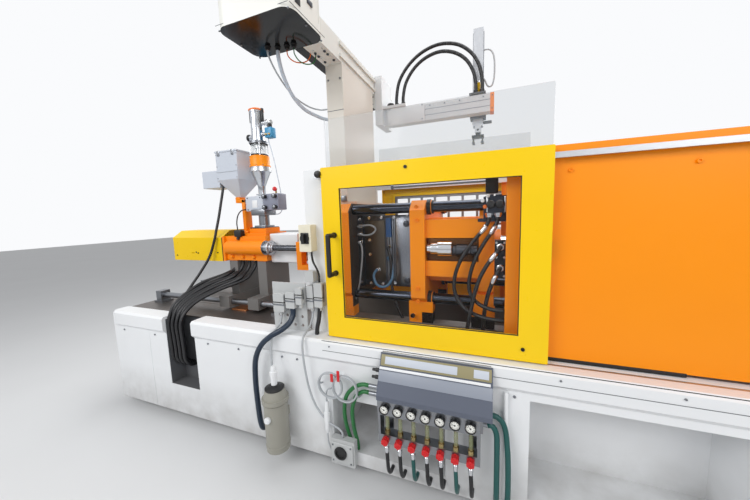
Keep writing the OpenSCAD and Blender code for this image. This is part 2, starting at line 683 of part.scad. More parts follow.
module clamp_panels() {
  color([0.98, 0.58, 0.05]) {
    both_sides() difference() {
      plate_y([door_x1 + 5, panel_y, panel_z0], bx1 - door_x1 - 5, panel_top - panel_z0, 40, 4);
      span([door_x1 + 8, panel_y + 3, panel_z0 + 3], [bx1 - 3, panel_y + 41, panel_top - 3]);
      span([door_x1 + 55, panel_y - 1, panel_top - 92], [bx1 - 30, panel_y + 1, panel_top - 62]);
    }
    // end panel with the opening that shows the clamp cylinder
    difference() {
      plate_x([bx1 - 40, panel_y + 40, panel_z0], 2 * (ax_y - panel_y) - 80, panel_top - panel_z0, 40, 4);
      span([bx1 - 41, panel_y + 43, panel_z0 + 3], [bx1 - 3, 2 * ax_y - panel_y - 43, panel_top - 3]);
      span([bx1 - 41, ax_y - 300, panel_z0 + 120], [bx1 + 1, ax_y + 300, panel_top - 160]);
    }
    // top sheet over the clamp cylinder
    span([1190, panel_y + 40, panel_top - 3], [bx1 - 40, 2 * ax_y - panel_y - 40, panel_top]);
  }
}

module back_guard() {
  y1 = 2 * ax_y - door_y0;
  y0 = 2 * ax_y - door_y1;
  mesh_nx = 8;
  mesh_nz = 6;
  color([0.96, 0.83, 0.08]) difference() {
    plate_y([door_x0, y0, door_z0], door_w, door_h, door_d, 6);
    span([win_x, y0 - 1, win_z], [win_x + window_w, y1 + 1, win_z + window_h]);
    difference() {
      span([door_x0 + door_t, y0 - 1, door_z0 + door_t], [door_x1 - door_t, y1 - door_t, door_z1 - door_t]);
      span([win_x - 22, y1 - 24, win_z - 22], [win_x + 22 + window_w, y1, win_z + 22 + window_h]);
    }
    translate([0, 2 * ax_y, 0]) mirror([0, 1, 0]) rail_slots();
  }
  color([0.96, 0.83, 0.08]) translate([0, 2 * ax_y, 0]) mirror([0, 1, 0]) door_shoes();
  // perforated sheet in the back guard's opening
  color([0.5, 0.52, 0.54]) difference() {
    span([win_x, y1 - 12, win_z], [win_x + window_w, y1 - 9, win_z + window_h]);
    for (i = [0:mesh_nx - 1], k = [0:mesh_nz - 1])
      plate_y([win_x + 20 + i * (window_w - 20) / mesh_nx, y1 - 14, win_z + 18 + k * (window_h - 20) / mesh_nz],
        (window_w - 20) / mesh_nx - 20, (window_h - 20) / mesh_nz - 20, 8, 8);
  }
}

module guard_panel() {
  x0 = guard_x0;
  x1 = guard_x1;
  y0 = guard_y;
  color([0.9, 0.91, 0.92]) both_sides() difference() {
    union() {
      plate_y([x0, y0, shelf_top], x1 - x0, panel_top - shelf_top, 40, 4);
      span([x0 + 3, y0, shelf_top], [x1 - 3, y0 + 70, shelf_top + 6]);
      // header behind the top of the door
      span([x1 - 4, panel_y + 16, header_z0], [door_x1 + 5, panel_y + 56, panel_top]);
    }
    span([x0 + 3, y0 + 3, shelf_top + 7], [x1 - 3, y0 + 41, panel_top - 3]);
    span([x1 - 3, panel_y + 19, header_z0 - 1], [door_x1 + 6, panel_y + 57, panel_top - 3]);
    for (z = [shelf_top + 190, panel_top - 120]) rod_y([x1 - 20, y0 - 1, z], 6, 10);
  }
}

module guard_post() {
  color([0.98, 0.5, 0.06]) both_sides() difference() {
    span([post_x0, guard_y - 3, shelf_top], [post_x0 + post_w, guard_y + 30, header_z0]);
    span([post_x0 + 3, guard_y, shelf_top - 1], [post_x0 + post_w - 3, guard_y + 31, header_z0 - 3]);
  }
}

module isolator_box() {
  color([0.88, 0.86, 0.78]) difference() {
    plate_y([-463, by0 + 48, 1402], 88, 170, 67, 6);
    rod_y([-419, by0 + 47, 1487], 6, 62);
  }
}

module isolator_knob() {
  color([0.07, 0.07, 0.08]) translate([-419, by0 + 53, 1487]) {
    rotate([90, 0, 0]) cylinder(h = 16, d = 60);
    rotate([90, 0, 0]) translate([0, 0, 15]) linear_extrude(20) square([20, 58], center = true);
  }
}

module top_guard() {
  color([0.8, 0.88, 0.9, 0.25]) both_sides() {
    span([door_x0 - 6, panel_y + 16, panel_top], [door_x1 + 5, panel_y + 24, panel_top + top_guard_h]);
  }
}

module plug_housings() {
  color([0.66, 0.67, 0.68]) {
    // bracket that stands on the shelf and carries the sockets
    difference() {
      span([-720, by0 + 70, shelf_top], [-452, by0 + 78, 1190]);
      for (x = [-690:60:-500], z = [shelf_top + 40:60:1000]) rod_y([x + 20, by0 + 69, z], 12, 22);
    }
    span([-720, by0 + 70, shelf_top], [-452, by0 + 115, shelf_top + 8]);
    for (p = [[-680, 1000, 84, 122], [-580, 1030, 70, 104], [-500, 1060, 46, 110]])
      plate_y([p[0], by0 + 20, p[1]], p[2], p[3], 51, 8);
    for (p = [[-440, 1030, 46, 150], [-385, 1040, 60, 160]]) plate_y([p[0], by0 + 60, p[1]], p[2], p[3], 55, 8);
    plate_y([-445, by0 + 58, 1205], 64, 70, 57, 6);
    // socket box low on the base
    plate_y([-256, by0 - 42, 70], 166, 170, 42, 8);
  }
}

module water_filter() {
  color([0.55, 0.57, 0.6]) translate([-620, by0 - 95, 0]) {
    translate([0, 0, 120]) cylinder(h = 330, d = 150);
    translate([0, 0, 450]) cylinder(h = 26, d = 168);
    translate([0, 0, 476]) cylinder(h = 54, d1 = 150, d2 = 120);
    translate([0, 0, 530]) cylinder(h = 22, d = 46);
    translate([-30, 0, 300]) cube([60, 95, 60]);
    translate([0, 0, 96]) cylinder(h = 24, d = 40);
  }
}

module flow_hood() {
  x0 = 100;
  color([0.52, 0.55, 0.6]) translate([x0, 0, 0]) rotate([90, 0, 90]) linear_extrude(flow_w + 50)
    polygon([[shelf_y0 - 6, hood_z1], [flow_y - 44, hood_z0 + 26], [flow_y - 44, hood_z0],
      [flow_y - 40, hood_z0], [flow_y - 40, hood_z0 + 24], [shelf_y0 - 4, hood_z1 - 8],
      [shelf_y0 - 4, shelf_top - 90],
      [shelf_y0, shelf_top - 90], [shelf_y0, hood_z1]]);
}

module flow_manifold() {
  x0 = flow_x0 - 45;
  color([0.5, 0.53, 0.57]) difference() {
    union() {
      span([x0, flow_y - 20, 520], [x0 + flow_w, flow_y + 50, 616]);
      span([x0, flow_y - 14, 350], [x0 + flow_w, flow_y + 46, 400]);
      for (x = [x0, x0 + flow_w - 14]) span([x, flow_y - 14, 350], [x + 14, flow_y + 46, 521]);
      // end blocks with the supply stubs
      span([x0 - 18, flow_y + 25, 520], [x0 + 1, flow_y + 65, 660]);
      span([x0 + flow_w - 1, flow_y + 5, 520], [x0 + flow_w + 12, flow_y + 65, 625]);
      for (z = [592, 636]) rod_x([x0 - 72, flow_y + 45, z], 55, 26);
      rod_x([x0 + flow_w + 11, flow_y + 45, 600], 20, 24);
      rod_x([x0 + flow_w + 11, flow_y + 25, 560], 20, 24);
      // straps that hang the manifold on the base, and their arms
      for (x = [x0 + 20, x0 + flow_w - 60]) {
        span([x, by0 - 8, 350], [x + 40, by0, shelf_top - shelf_h - 14]);
        span([x, flow_y + 40, 356], [x + 40, by0 - 7, 376]);
        span([x, flow_y + 40, 530], [x + 40, by0 - 7, 560]);
      }
    }
    for (i = [0:circuits - 1]) translate([flow_x0 + i * circuit_pitch, 0, 0]) {
      rod_y([0, flow_y - 21, gauge_z - 20], 18, gauge_d - 6);
      rod_z([0, flow_y + 16, 395], 130, flow_tube_d);
      rod_y([0, flow_y - 15, 375], 40, 16);
    }
  }
}

module flow_gauges() {
  color([0.07, 0.07, 0.08]) for (i = [0:circuits - 1])
    translate([flow_x0 + i * circuit_pitch, flow_y - 3, gauge_z - 20]) rotate([90, 0, 0]) {
      cylinder(h = 24, d = gauge_d - 6);
      translate([0, 0, 17]) difference() {
        cylinder(h = 22, d = gauge_d);
        translate([0, 0, 16]) cylinder(h = 7, d = gauge_d - 8);
      }
    }
}

module flow_tubes() {
  color([0.8, 0.86, 0.88, 0.4]) for (i = [0:circuits - 1])
    rod_z([flow_x0 + i * circuit_pitch, flow_y + 16, 398], flow_tube_l, flow_tube_d);
}

module flow_knob(i) {
  color([0.8, 0.08, 0.1]) translate([flow_x0 + (i - 1) * circuit_pitch, flow_y, 375]) rotate([90, 0, 0]) {
    translate([0, 0, -20]) cylinder(h = 40, d = 16 - 2 * run_gap);
    translate([0, 0, 16]) difference() {
      cylinder(h = 30, d = 40);
      for (a = [0:60:300]) rotate([0, 0, a]) translate([23, 0, -1]) cylinder(h = 32, d = 12);
    }
  }
}

module injection_casting() {
  y0 = ax_y - unit_w / 2;
  y1 = ax_y + unit_w / 2;
  color([0.96, 0.45, 0.08]) difference() {
    union() {
      // main body, stepped like the casting
      span([cast_x0, y0 + 20, cover_z0 + 12], [cast_x1 - 1, y1 - 20, axis_h + 105]);
      for (s = [-1, 1]) rod_x([cast_x0 + 60, ax_y + s * carriage_rod_span / 2, axis_h + 8],
        casting_l - 60, 120);
      for (s = [-1, 1]) rod_x([cast_x1 - 1, ax_y + s * carriage_rod_span / 2, axis_h + 8], gland_l, 92);
      span([cast_x0 + 120, y0 + 50, axis_h + 90], [cast_x1 - 20, y1 - 50, axis_h + 128]);
      span([hopper_x - 90, ax_y - 90, axis_h + 120], [hopper_x + 90, ax_y + 90, axis_h + 170]);
      span([cast_x0, y0, cover_z0 + 4], [cast_x0 + 24, y1, axis_h + 105]);
      // saddle down to the guide bars
      for (x = [cast_x0 + 20, cast_x1 - 130]) span([x, ax_y - guide_bar_span / 2 - 45, bar_z - 45],
        [x + 110, ax_y + guide_bar_span / 2 + 45, bar_z + 50]);
      for (x = [cast_x0 + 30, cast_x1 - 120])
        span([x, ax_y - 150, bar_z + 49], [x + 90, ax_y + 150, cover_z0 + 20]);
      for (x = [cast_x0 + 90, cast_x0 + 210, cast_x0 + 330]) rod_y([x, y0 + 8, axis_h - 74], 20, 30);
    }
    rod_x([cast_x0 - 1, ax_y, axis_h], casting_l + 2, barrel_d + 4);
    rod_x([cast_x0 - 1, ax_y, axis_h], 160, 230);
    for (s = [-1, 1]) {
      rod_x([cast_x0 - 1, ax_y + s * guide_bar_span / 2, bar_z], casting_l + 2, guide_bar_d + 2 * run_gap);
      rod_x([cast_x0 + 80, ax_y + s * carriage_rod_span / 2, axis_h + 8],
        casting_l, carriage_rod_d + 2 * run_gap);
    }
    rod_z([hopper_x, ax_y, axis_h], 200, 60);
  }
}

module injection_cover() {
  y0 = ax_y - unit_w / 2;
  y1 = ax_y + unit_w / 2;
  z1 = cover_z0 + cover_h;
  t = 3;
  color([0.96, 0.83, 0.08]) difference() {
    translate([cover_x0, 0, 0]) rotate([90, 0, 90]) linear_extrude(cover_l)
      polygon([[y0, cover_z0], [y1, cover_z0], [y1, z1], [y1 - 95, z1 + 62], [y0 + 95, z1 + 62], [y0, z1]]);
    translate([cover_x0 + t, 0, 0]) rotate([90, 0, 90]) linear_extrude(cover_l)
      polygon([[y0 + t, cover_z0 - 1], [y1 - t, cover_z0 - 1], [y1 - t, z1 - 1], [y1 - 96, z1 + 60],
        [y0 + 96, z1 + 60], [y0 + t, z1 - 1]]);
    for (x = [240, 262]) rod_y([cover_x0 + x, y0 - 1, cover_z0 + 70], 6, 12);
  }
}

module barrel() {
  r = barrel_d / 2;
  color([0.45, 0.46, 0.48]) translate([cast_x0 + 150, ax_y, axis_h]) rotate([0, 90, 0]) difference() {
    union() {
      rotate_extrude() polygon([[0, 0], [r + 2, 0], [r + 2, barrel_in], [r + 30, barrel_in],
        [r + 30, barrel_in + 34], [r - 6, barrel_in + 34], [r - 6, barrel_l - 170],
        [r - 22, barrel_l - 168], [r - 22, barrel_l - 90], [24, barrel_l - 80], [24, barrel_l - 22],
        [8, barrel_l], [0, barrel_l]]);
      // heater bands
      for (i = [0:3]) translate([0, 0, barrel_in + 60 + i * 105]) cylinder(h = 80, d = barrel_d + 10);
    }
    translate([0, 0, -1]) cylinder(h = barrel_l - 120, d = screw_d + 2 * run_gap);
    translate([0, 0, 0]) cylinder(h = barrel_l + 1, d = 8);
    translate([-40, 0, hopper_x - cast_x0 - 150]) rotate([0, -90, 0]) cylinder(h = 60, d = 50);
    translate([0, 0, hopper_x - cast_x0 - 150]) rotate([0, -90, 0]) cylinder(h = 90, d = 50);
  }
}

module screw() {
  l = barrel_l - 140;
  color([0.7, 0.71, 0.73]) translate([cast_x0 + 150, ax_y, axis_h]) rotate([0, 90, 0]) {
    translate([0, 0, -120]) cylinder(h = 160, d = screw_d);
    cylinder(h = l - 40, d = screw_d - 14);
    // flights of the screw
    for (i = [0:17]) translate([0, 0, 60 + i * 42]) cylinder(h = 6, d = screw_d);
    translate([0, 0, l - 40]) cylinder(h = 40, d1 = screw_d, d2 = 10);
    translate([0, 0, -200]) cylinder(h = 90, d = 130);
  }
}

module barrel_guard() {
  x0 = cast_x1 - 1;
  x1 = -796;
  color([0.8, 0.81, 0.82]) difference() {
    plate_x([x0, ax_y - 110, axis_h - 124], 220, 244, x1 - x0, 14);
    plate_x([x0 - 1, ax_y - 107, axis_h - 121], 214, 238, x1 - x0 - 2, 11);
    rod_x([x1 - 5, ax_y, axis_h], 10, barrel_d + 40);
    for (x = [x0 + 40:40:x1 - 60]) span([x, ax_y - 80, axis_h - 130], [x + 14, ax_y + 80, axis_h - 100]);
  }
}

module carriage_rods() {
  color([0.35, 0.36, 0.39]) for (s = [-1, 1])
    rod_x([cast_x0 + 240, ax_y + s * carriage_rod_span / 2, axis_h + 8],
      bracket_x0 - cast_x0 - 239, carriage_rod_d);
  color([0.96, 0.45, 0.08]) for (s = [-1, 1]) difference() {
    span([bracket_x0, ax_y + s * carriage_rod_span / 2 - 34, axis_h - 160],
      [platen_x0, ax_y + s * carriage_rod_span / 2 + 34, axis_h + 60]);
    span([bracket_x0 + 45, ax_y + s * carriage_rod_span / 2 - 35, axis_h - 120],
      [platen_x0 - 45, ax_y + s * carriage_rod_span / 2 + 35, axis_h + 20]);
  }
}

module feed_hopper() {
  top_z = cone_z + hopper_h;
  color([0.75, 0.76, 0.78]) translate([hopper_x, ax_y, 0]) {
    // throat with its slide gate
    difference() {
      union() {
        translate([-60, -60, axis_h + 170]) cube([120, 120, 20]);
        translate([0, 0, axis_h + 189]) cylinder(h = 90, d = 90);
        translate([-75, -75, axis_h + 278]) cube([150, 150, 66]);
        translate([0, 0, axis_h + 343]) cylinder(h = cone_z - axis_h - 343, d = 76);
        translate([0, 0, cone_z - 30]) cylinder(h = 10, d = 120);
        translate([-80, -120, cone_z - 148]) cube([80, 62, 140]);
      }
      translate([0, 0, axis_h]) cylinder(h = cone_z - axis_h + 60, d = 56);
    }
    translate([0, 0, cone_z]) difference() {
      cylinder(h = hopper_h, d1 = 76, d2 = hopper_d);
      translate([0, 0, -1]) cylinder(h = hopper_h + 2, d1 = 56, d2 = hopper_d - 5);
    }
  }
  // ring between hopper and sight glass
  color([0.96, 0.45, 0.08]) translate([hopper_x, ax_y, top_z]) difference() {
    union() {
      cylinder(h = 18, d = hopper_d + 16);
      cylinder(h = 126, d = hopper_d);
      translate([0, 0, 110]) cylinder(h = 20, d = hopper_d - 30);
    }
    translate([0, 0, -1]) cylinder(h = 132, d = hopper_d - 60);
  }
  // loader with its lid and inlet
  color([0.85, 0.86, 0.88]) translate([hopper_x, ax_y, glass_z + glass_h]) {
    difference() {
      union() {
        cylinder(h = 14, d = hopper_d - 30);
        cylinder(h = 270, d = loader_d);
        translate([0, 0, 256]) cylinder(h = 16, d = loader_d + 16);
        translate([0, 0, 60]) rotate([0, -90, 0]) cylinder(h = 150, d = 52);
        translate([0, 0, 190]) rotate([0, 90, 0]) cylinder(h = 140, d = 40);
      }
      translate([0, 0, -1]) cylinder(h = 250, d = loader_d - 8);
      translate([-60, 0, 60]) rotate([0, -90, 0]) cylinder(h = 100, d = 44);
    }
    translate([0, 0, 270]) cylinder(h = 26, d1 = loader_d, d2 = 60);
  }
}

module sight_glass() {
  color([0.85, 0.92, 0.94, 0.35]) translate([hopper_x, ax_y, glass_z]) difference() {
    cylinder(h = glass_h, d = hopper_d - 50);
    translate([0, 0, -1]) cylinder(h = glass_h + 2, d = hopper_d - 60);
  }
}

module material_box() {
  x0 = -1700;
  x1 = -1450;
  y0 = ax_y - 130;
  y1 = ax_y + 130;
  t = 3;
  xm = (x0 + x1) / 2;
  arm_z = box_z0 - 168;
  color([0.62, 0.65, 0.68]) {
    difference() {
      union() {
        span([x0, y0, box_z0], [x1, y1, box_z0 + box_h]);
        span([x0 - 150, y0 + 40, box_z0 + 70], [x0 + 1, y1 - 40, box_z0 + 190]);
        translate([xm, ax_y, box_z0 - 120]) funnel(x1 - x0, y1 - y0, 120);
      }
      span([x0 + t, y0 + t, box_z0], [x1 - t, y1 - t, box_z0 + box_h + 1]);
    }
    span([x0 - 6, y0 - 6, box_z0 + box_h], [x1 + 6, y1 + 6, box_z0 + box_h + 12]);
  }
  // arm that carries the box on the casting
  color([0.96, 0.45, 0.08]) {
    span([xm - 25, ax_y - 40, arm_z - 2], [xm + 25, ax_y + 40, box_z0 - 118]);
    span([xm - 25, ax_y - 40, arm_z - 32], [hopper_x - 100, ax_y + 40, arm_z]);
    span([hopper_x - 130, ax_y - 40, axis_h + 128], [hopper_x - 100, ax_y + 40, arm_z]);
  }
}

// tapered underside of the material box
module funnel(w, d, h) {
  polyhedron([[-40, -40, 0], [40, -40, 0], [40, 40, 0], [-40, 40, 0],
    [-w / 2, -d / 2, h], [w / 2, -d / 2, h], [w / 2, d / 2, h], [-w / 2, d / 2, h]],
    [[0, 1, 2, 3], [7, 6, 5, 4], [4, 5, 1, 0], [5, 6, 2, 1], [6, 7, 3, 2], [7, 4, 0, 3]]);
}

module robot_column() {
  t = 12;
  color([0.9, 0.91, 0.92]) difference() {
    union() {
      span([col_x0, col_y0, platen_z1 + 20], [col_x1, col_y0 + column_l, beam_z - 24]);
      span([platen_x0, col_y0, platen_z1], [platen_x1 - 20, col_y0 + column_l, platen_z1 + 20]);
      span([col_x0, col_y0, beam_z - 24], [col_x1, col_y0 + column_l, beam_z]);
    }
    span([col_x0 + t, col_y0 + t, platen_z1 + 40], [col_x1 - t, col_y0 + column_l - t, beam_z - 30]);
    span([col_x0 - 1, col_y0 + 150, platen_z1 + 260], [col_x0 + 20, col_y0 + column_l - 150, beam_z - 260]);
    for (y = [col_y0 + 60, col_y0 + column_l - 60], x = [platen_x1 - 46]) rod_z([x, y, platen_z1 - 1], 22, 18);
  }
}

module robot_beam() {
  color([0.9, 0.91, 0.92]) difference() {
    union() {
      span([col_x0, beam_y0, beam_z], [col_x1, beam_y1, beam_z + beam_h]);
      // linear rails on the beam's clamp side
      for (z = [24, beam_h - 44]) span([col_x1 - 1, beam_y0 + 230, beam_z + z],
        [col_x1 + rail_out, beam_y1 - 20, beam_z + z + 20]);
    }
    for (y = [beam_y0 + 60, beam_y0 + 110, beam_y0 + 160, beam_y1 - 80], x = [col_x0 + 30, col_x1 - 30])
      rod_z([x, y, beam_z - 1], 20, 12);
    span([col_x0 - 1, beam_y0 + 20, beam_z + 50], [col_x0 + 14, beam_y1 - 20, beam_z + 90]);
  }
  // tray for the energy chain beside the beam
  color([0.13, 0.13, 0.15]) span([col_x0 - 62, beam_y0 + 4, beam_z], [col_x0, beam_y1 - 120, beam_z + 6]);
}

module robot_cabinet() {
  x0 = -755;
  x1 = -263;
  y0 = -855;
  y1 = beam_y0;
  color([0.86, 0.87, 0.88]) translate([0, 0, beam_z]) difference() {
    linear_extrude(420) translate([x0, y0]) rounded(x1 - x0, y1 - y0, 70);
    // louvres in the left side
    for (z = [60:30:240]) span([x0 - 1, y0 + 100, z], [x0 + 6, y1 - 90, z + 10]);
    span([x1 - 3, y1 - 150, 60], [x1 + 1, y1 - 60, 200]);
  }
}

module kick_arm() {
  // carriage that rides on the beam's rails
  color([0.9, 0.91, 0.92]) {
    difference() {
      span([col_x1 + 3, 370, kick_z0], [-225, 640, beam_z + beam_h + 6]);
      for (z = [24, beam_h - 44]) span([col_x1 + 1, 369, beam_z + z - runner_gap],
        [col_x1 + rail_out + runner_gap, 641, beam_z + z + 20 + runner_gap]);
    }
    difference() {
      span([-226, kick_y0, kick_z0], [kick_x1 - 28, kick_y1, kick_z0 + kick_h]);
      for (z = [26, kick_h - 46]) span([-100, kick_y1 - 3, kick_z0 + z],
        [kick_x1 - 29, kick_y1 + 1, kick_z0 + z + 20]);
    }
    span([-226, kick_y0 - 40, kick_z0 + kick_h - 1], [-20, kick_y1, kick_z0 + kick_h + 20]);
  }
  // end cap
  color([0.98, 0.45, 0.08]) span([kick_x1 - 28, kick_y0 - 3, kick_z0 - 3],
    [kick_x1, kick_y1 + 3, kick_z0 + kick_h + 3]);
}

module arm_carriage() {
  color([0.3, 0.31, 0.33]) difference() {
    union() {
      span([varm_x - 62, kick_y1 + 3, kick_z0 - 10],
        [varm_x + 62, varm_y0 + varm_w + 10, kick_z0 + kick_h + 40]);
      // runners in the grooves of the kick arm
      for (z = [26, kick_h - 46]) span([varm_x - 55, kick_y1 - 3 + runner_gap, kick_z0 + z + runner_gap],
        [varm_x + 55, kick_y1 + 4, kick_z0 + z + 20 - runner_gap]);
      // bridge over the kick arm that holds the conduits' ends
      span([varm_x - 62, kick_y0 - 6, conduit_z], [varm_x + 62, kick_y1 + 4, conduit_z + 14]);
    }
    span([varm_x - varm_w / 2 - runner_gap, varm_y0 - runner_gap, kick_z0 - 12],
      [varm_x + varm_w / 2 + runner_gap, varm_y0 + varm_w + runner_gap, kick_z0 + kick_h + 42]);
  }
}

module vertical_arm() {
  color([0.9, 0.91, 0.92]) difference() {
    union() {
      span([varm_x - varm_w / 2, varm_y0, varm_z0], [varm_x + varm_w / 2, varm_y0 + varm_w, varm_z0 + varm_l]);
      // fork for the gripper's pivot
      for (y = [varm_y0, varm_y0 + varm_w - 12])
        span([varm_x - 24, y, tilt_z - 22], [varm_x + 24, y + 12, varm_z0 + 1]);
    }
    rod_y([varm_x, varm_y0 - 1, tilt_z], varm_w + 2, 18 + 2 * run_gap);
    for (s = [-1, 1]) span([varm_x + s * varm_w / 2 - 4, varm_y0 + 28, varm_z0 + 20],
      [varm_x + s * varm_w / 2 + 4, varm_y0 + 50, varm_z0 + varm_l - 10]);
  }
}

module gripper() {
  y = varm_y0 + varm_w / 2;
  color([0.2, 0.21, 0.23]) {
    rod_y([varm_x, varm_y0, tilt_z], varm_w, 18);
    rod_y([varm_x, varm_y0 + 12 + run_gap, tilt_z], varm_w - 24 - 2 * run_gap, 44);
    span([varm_x - 16, y - 20, tilt_z - 45], [varm_x + 16, y + 20, tilt_z]);
    span([varm_x - 48, y - 48, tilt_z - 58], [varm_x + 48, y + 48, tilt_z - 44]);
    for (x = [-36, 36], d = [-36, 36]) {
      rod_z([varm_x + x, y + d, tilt_z - 94], 37, 12);
      translate([varm_x + x, y + d, tilt_z - 106]) cylinder(h = 13, d1 = 30, d2 = 14);
    }
  }
}

module injection_hoses() {
  color([0.06, 0.06, 0.07]) tube(bundle_route, 84, 10);
}

module clamp_hoses() {
  color([0.06, 0.06, 0.07]) for (r = clamp_routes) tube(r, 19);
}

module manifold_hoses() {
  color([0.1, 0.3, 0.26]) for (r = manifold_routes) tube(r, 19);
}

module plug_cables() {
  color([0.6, 0.62, 0.63]) for (r = cable_routes) tube(r, 12);
}

module arm_conduits() {
  color([0.07, 0.07, 0.08]) for (r = arch_routes) tube(r, 26);
}

module column_conduit() {
  color([0.85, 0.87, 0.9]) tube(column_route, 24);
}

base_frame();
aprons();
deck_plate();
leveling_feet();
guide_bars();
fixed_platen();
tie_bars();
tie_nuts();
clamp_cylinder();
mould_fixed();
mould_moving();
moving_platen();
clamp_ram();
ejector();
door_frame();
door_window();
door_handle();
door_rails();
clamp_panels();
back_guard();
guard_panel();
guard_post();
isolator_box();
isolator_knob();
top_guard();
plug_housings();
water_filter();
flow_hood();
flow_manifold();
flow_gauges();
flow_tubes();
flow_knob(1);  // flow_knob_1
flow_knob(2);  // flow_knob_2
flow_knob(3);  // flow_knob_3
flow_knob(4);  // flow_knob_4
flow_knob(5);  // flow_knob_5
flow_knob(6);  // flow_knob_6
flow_knob(7);  // flow_knob_7
injection_casting();
injection_cover();
barrel();
barrel_guard();
carriage_rods();
screw();
feed_hopper();
sight_glass();
material_box();
robot_column();
robot_beam();
robot_cabinet();
kick_arm();
arm_carriage();
vertical_arm();
gripper();
injection_hoses();
clamp_hoses();
manifold_hoses();
plug_cables();
arm_conduits();
column_conduit();
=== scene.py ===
# %% [markdown]
# # An injection moulding machine, dressed for its portrait
# The CAD model gives every solid its true size and place. This lesson adds what CAD leaves out: hoses that hang as
# hoses do, paint with a skin, ground and chromed steel, and the small fittings that a machine carries.
# Lengths are written in millimetres, as on a drawing, and turned into Blender's metres by one helper.

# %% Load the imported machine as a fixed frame
import math

import bpy
from mathutils import Matrix, Vector


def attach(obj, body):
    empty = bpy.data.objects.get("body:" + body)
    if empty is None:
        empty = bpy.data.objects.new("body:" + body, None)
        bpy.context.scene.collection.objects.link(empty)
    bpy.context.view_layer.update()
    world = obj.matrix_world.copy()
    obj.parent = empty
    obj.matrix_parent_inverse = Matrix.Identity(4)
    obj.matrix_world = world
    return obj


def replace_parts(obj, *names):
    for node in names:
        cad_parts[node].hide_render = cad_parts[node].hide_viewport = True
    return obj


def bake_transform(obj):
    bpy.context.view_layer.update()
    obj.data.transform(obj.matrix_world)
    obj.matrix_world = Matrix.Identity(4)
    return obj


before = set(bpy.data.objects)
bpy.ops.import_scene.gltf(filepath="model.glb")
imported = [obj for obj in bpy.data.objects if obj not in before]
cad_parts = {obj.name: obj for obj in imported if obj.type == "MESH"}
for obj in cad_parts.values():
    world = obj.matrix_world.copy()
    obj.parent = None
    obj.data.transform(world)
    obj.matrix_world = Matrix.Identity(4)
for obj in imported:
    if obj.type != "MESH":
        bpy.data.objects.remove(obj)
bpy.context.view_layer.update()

bpy.context.scene.view_settings.view_transform = "Standard"
print("view transform:", bpy.context.scene.view_settings.view_transform)

# %% [markdown]
# ## Camera
# The photograph was taken at shoulder height, close to the door, with a very wide lens. A wide lens close by
# stretches the right end of the machine and lets its left end run away, so the place matters more than the zoom.
# The camera could be aimed with angles. Its three axes are written out instead, because they were measured that way.

# %% Camera at the photograph's place
def photo_camera():
    lens = bpy.data.cameras.new("photo_lens")
    lens.sensor_width = 36
    lens.lens = 14.33
    lens.clip_start = 0.05
    lens.clip_end = 200
    camera = bpy.data.objects.new("photo_camera", lens)
    bpy.context.scene.collection.objects.link(camera)
    right, up, ahead = (0.93151, 0.36224, -0.03264), (-0.01218, 0.12075, 0.99261), (-0.36350, 0.92423, -0.11689)
    turn = Matrix((right, up, tuple(-a for a in ahead))).transposed().to_4x4()
    camera.matrix_world = Matrix.Translation((0.675, -2.195, 1.62)) @ turn
    bpy.context.scene.camera = camera
    return camera


print("camera at", tuple(photo_camera().location))

# %% [markdown]
# ## Finishes
# Every finish is one Principled shader fed by a few noises in Object coordinates, so its grain is measured in metres
# and stays put on the machine. A broad noise makes the colour drift, a fine one gives the skin its bump, and a third
# varies the gloss. Where one CAD piece has parts of different stock, a box in space says which part gets which; one
# such box paints shade into the hose notch of the base.

# %% Node helpers
def linear(red, green, blue):
    """A colour read off a screen, 0 to 255, as the linear value that a shader wants."""
    part = [c / 255 for c in (red, green, blue)]
    return [c / 12.92 if c <= 0.04045 else ((c + 0.055) / 1.055) ** 2.4 for c in part] + [1]


def feed(tree, node, inputs):
    """Each input of a node is set to a value or joined to a socket."""
    for key, value in dict(inputs).items():
        if isinstance(value, bpy.types.NodeSocket):
            tree.links.new(value, node.inputs[key])
        else:
            node.inputs[key].default_value = value


def add(tree, kind, inputs=(), **settings):
    """A new node with its settings and inputs."""
    made = tree.nodes.new(kind)
    for key, value in settings.items():
        setattr(made, key, value)
    feed(tree, made, inputs)
    return made


def new_finish(name):
    """A material, its tree, its shader, and the place on the object."""
    material = bpy.data.materials.new(name)
    material.use_nodes = True
    tree = material.node_tree
    return material, tree, tree.nodes["Principled BSDF"], add(tree, "ShaderNodeTexCoord").outputs["Object"]


def bump(tree, height, strength):
    return add(tree, "ShaderNodeBump", {"Height": height, "Strength": strength, "Distance": 0.002}).outputs["Normal"]


def scaled(colour, factor):
    """A linear colour made darker or lighter, never past 1."""
    return [min(1, c * factor) for c in colour[:3]] + [1]


def blended(tree, factor, first, second):
    """The colour between two colours."""
    node = add(tree, "ShaderNodeMix", {0: factor, 6: first, 7: second}, data_type="RGBA")
    return node.outputs[2]


def between(tree, factor, low, high):
    """A number between two numbers."""
    return add(tree, "ShaderNodeMapRange", {"Value": factor, "To Min": low, "To Max": high}).outputs["Result"]


def math_node(tree, operation, first, second=0.0):
    return add(tree, "ShaderNodeMath", {0: first, 1: second}, operation=operation).outputs[0]


def noise(tree, place, scale, detail=3.0, stretch=None):
    if stretch:
        place = add(tree, "ShaderNodeMapping", {"Vector": place, "Scale": stretch}).outputs["Vector"]
    node = add(tree, "ShaderNodeTexNoise", {"Vector": place, "Scale": scale, "Detail": detail})
    return node.outputs["Fac"]


def span(low, high):
    """Middle and size, in metres, of a box between two corners in millimetres."""
    return [(a + b) / 2000 for a, b in zip(low, high)], [(b - a) / 1000 for a, b in zip(low, high)]


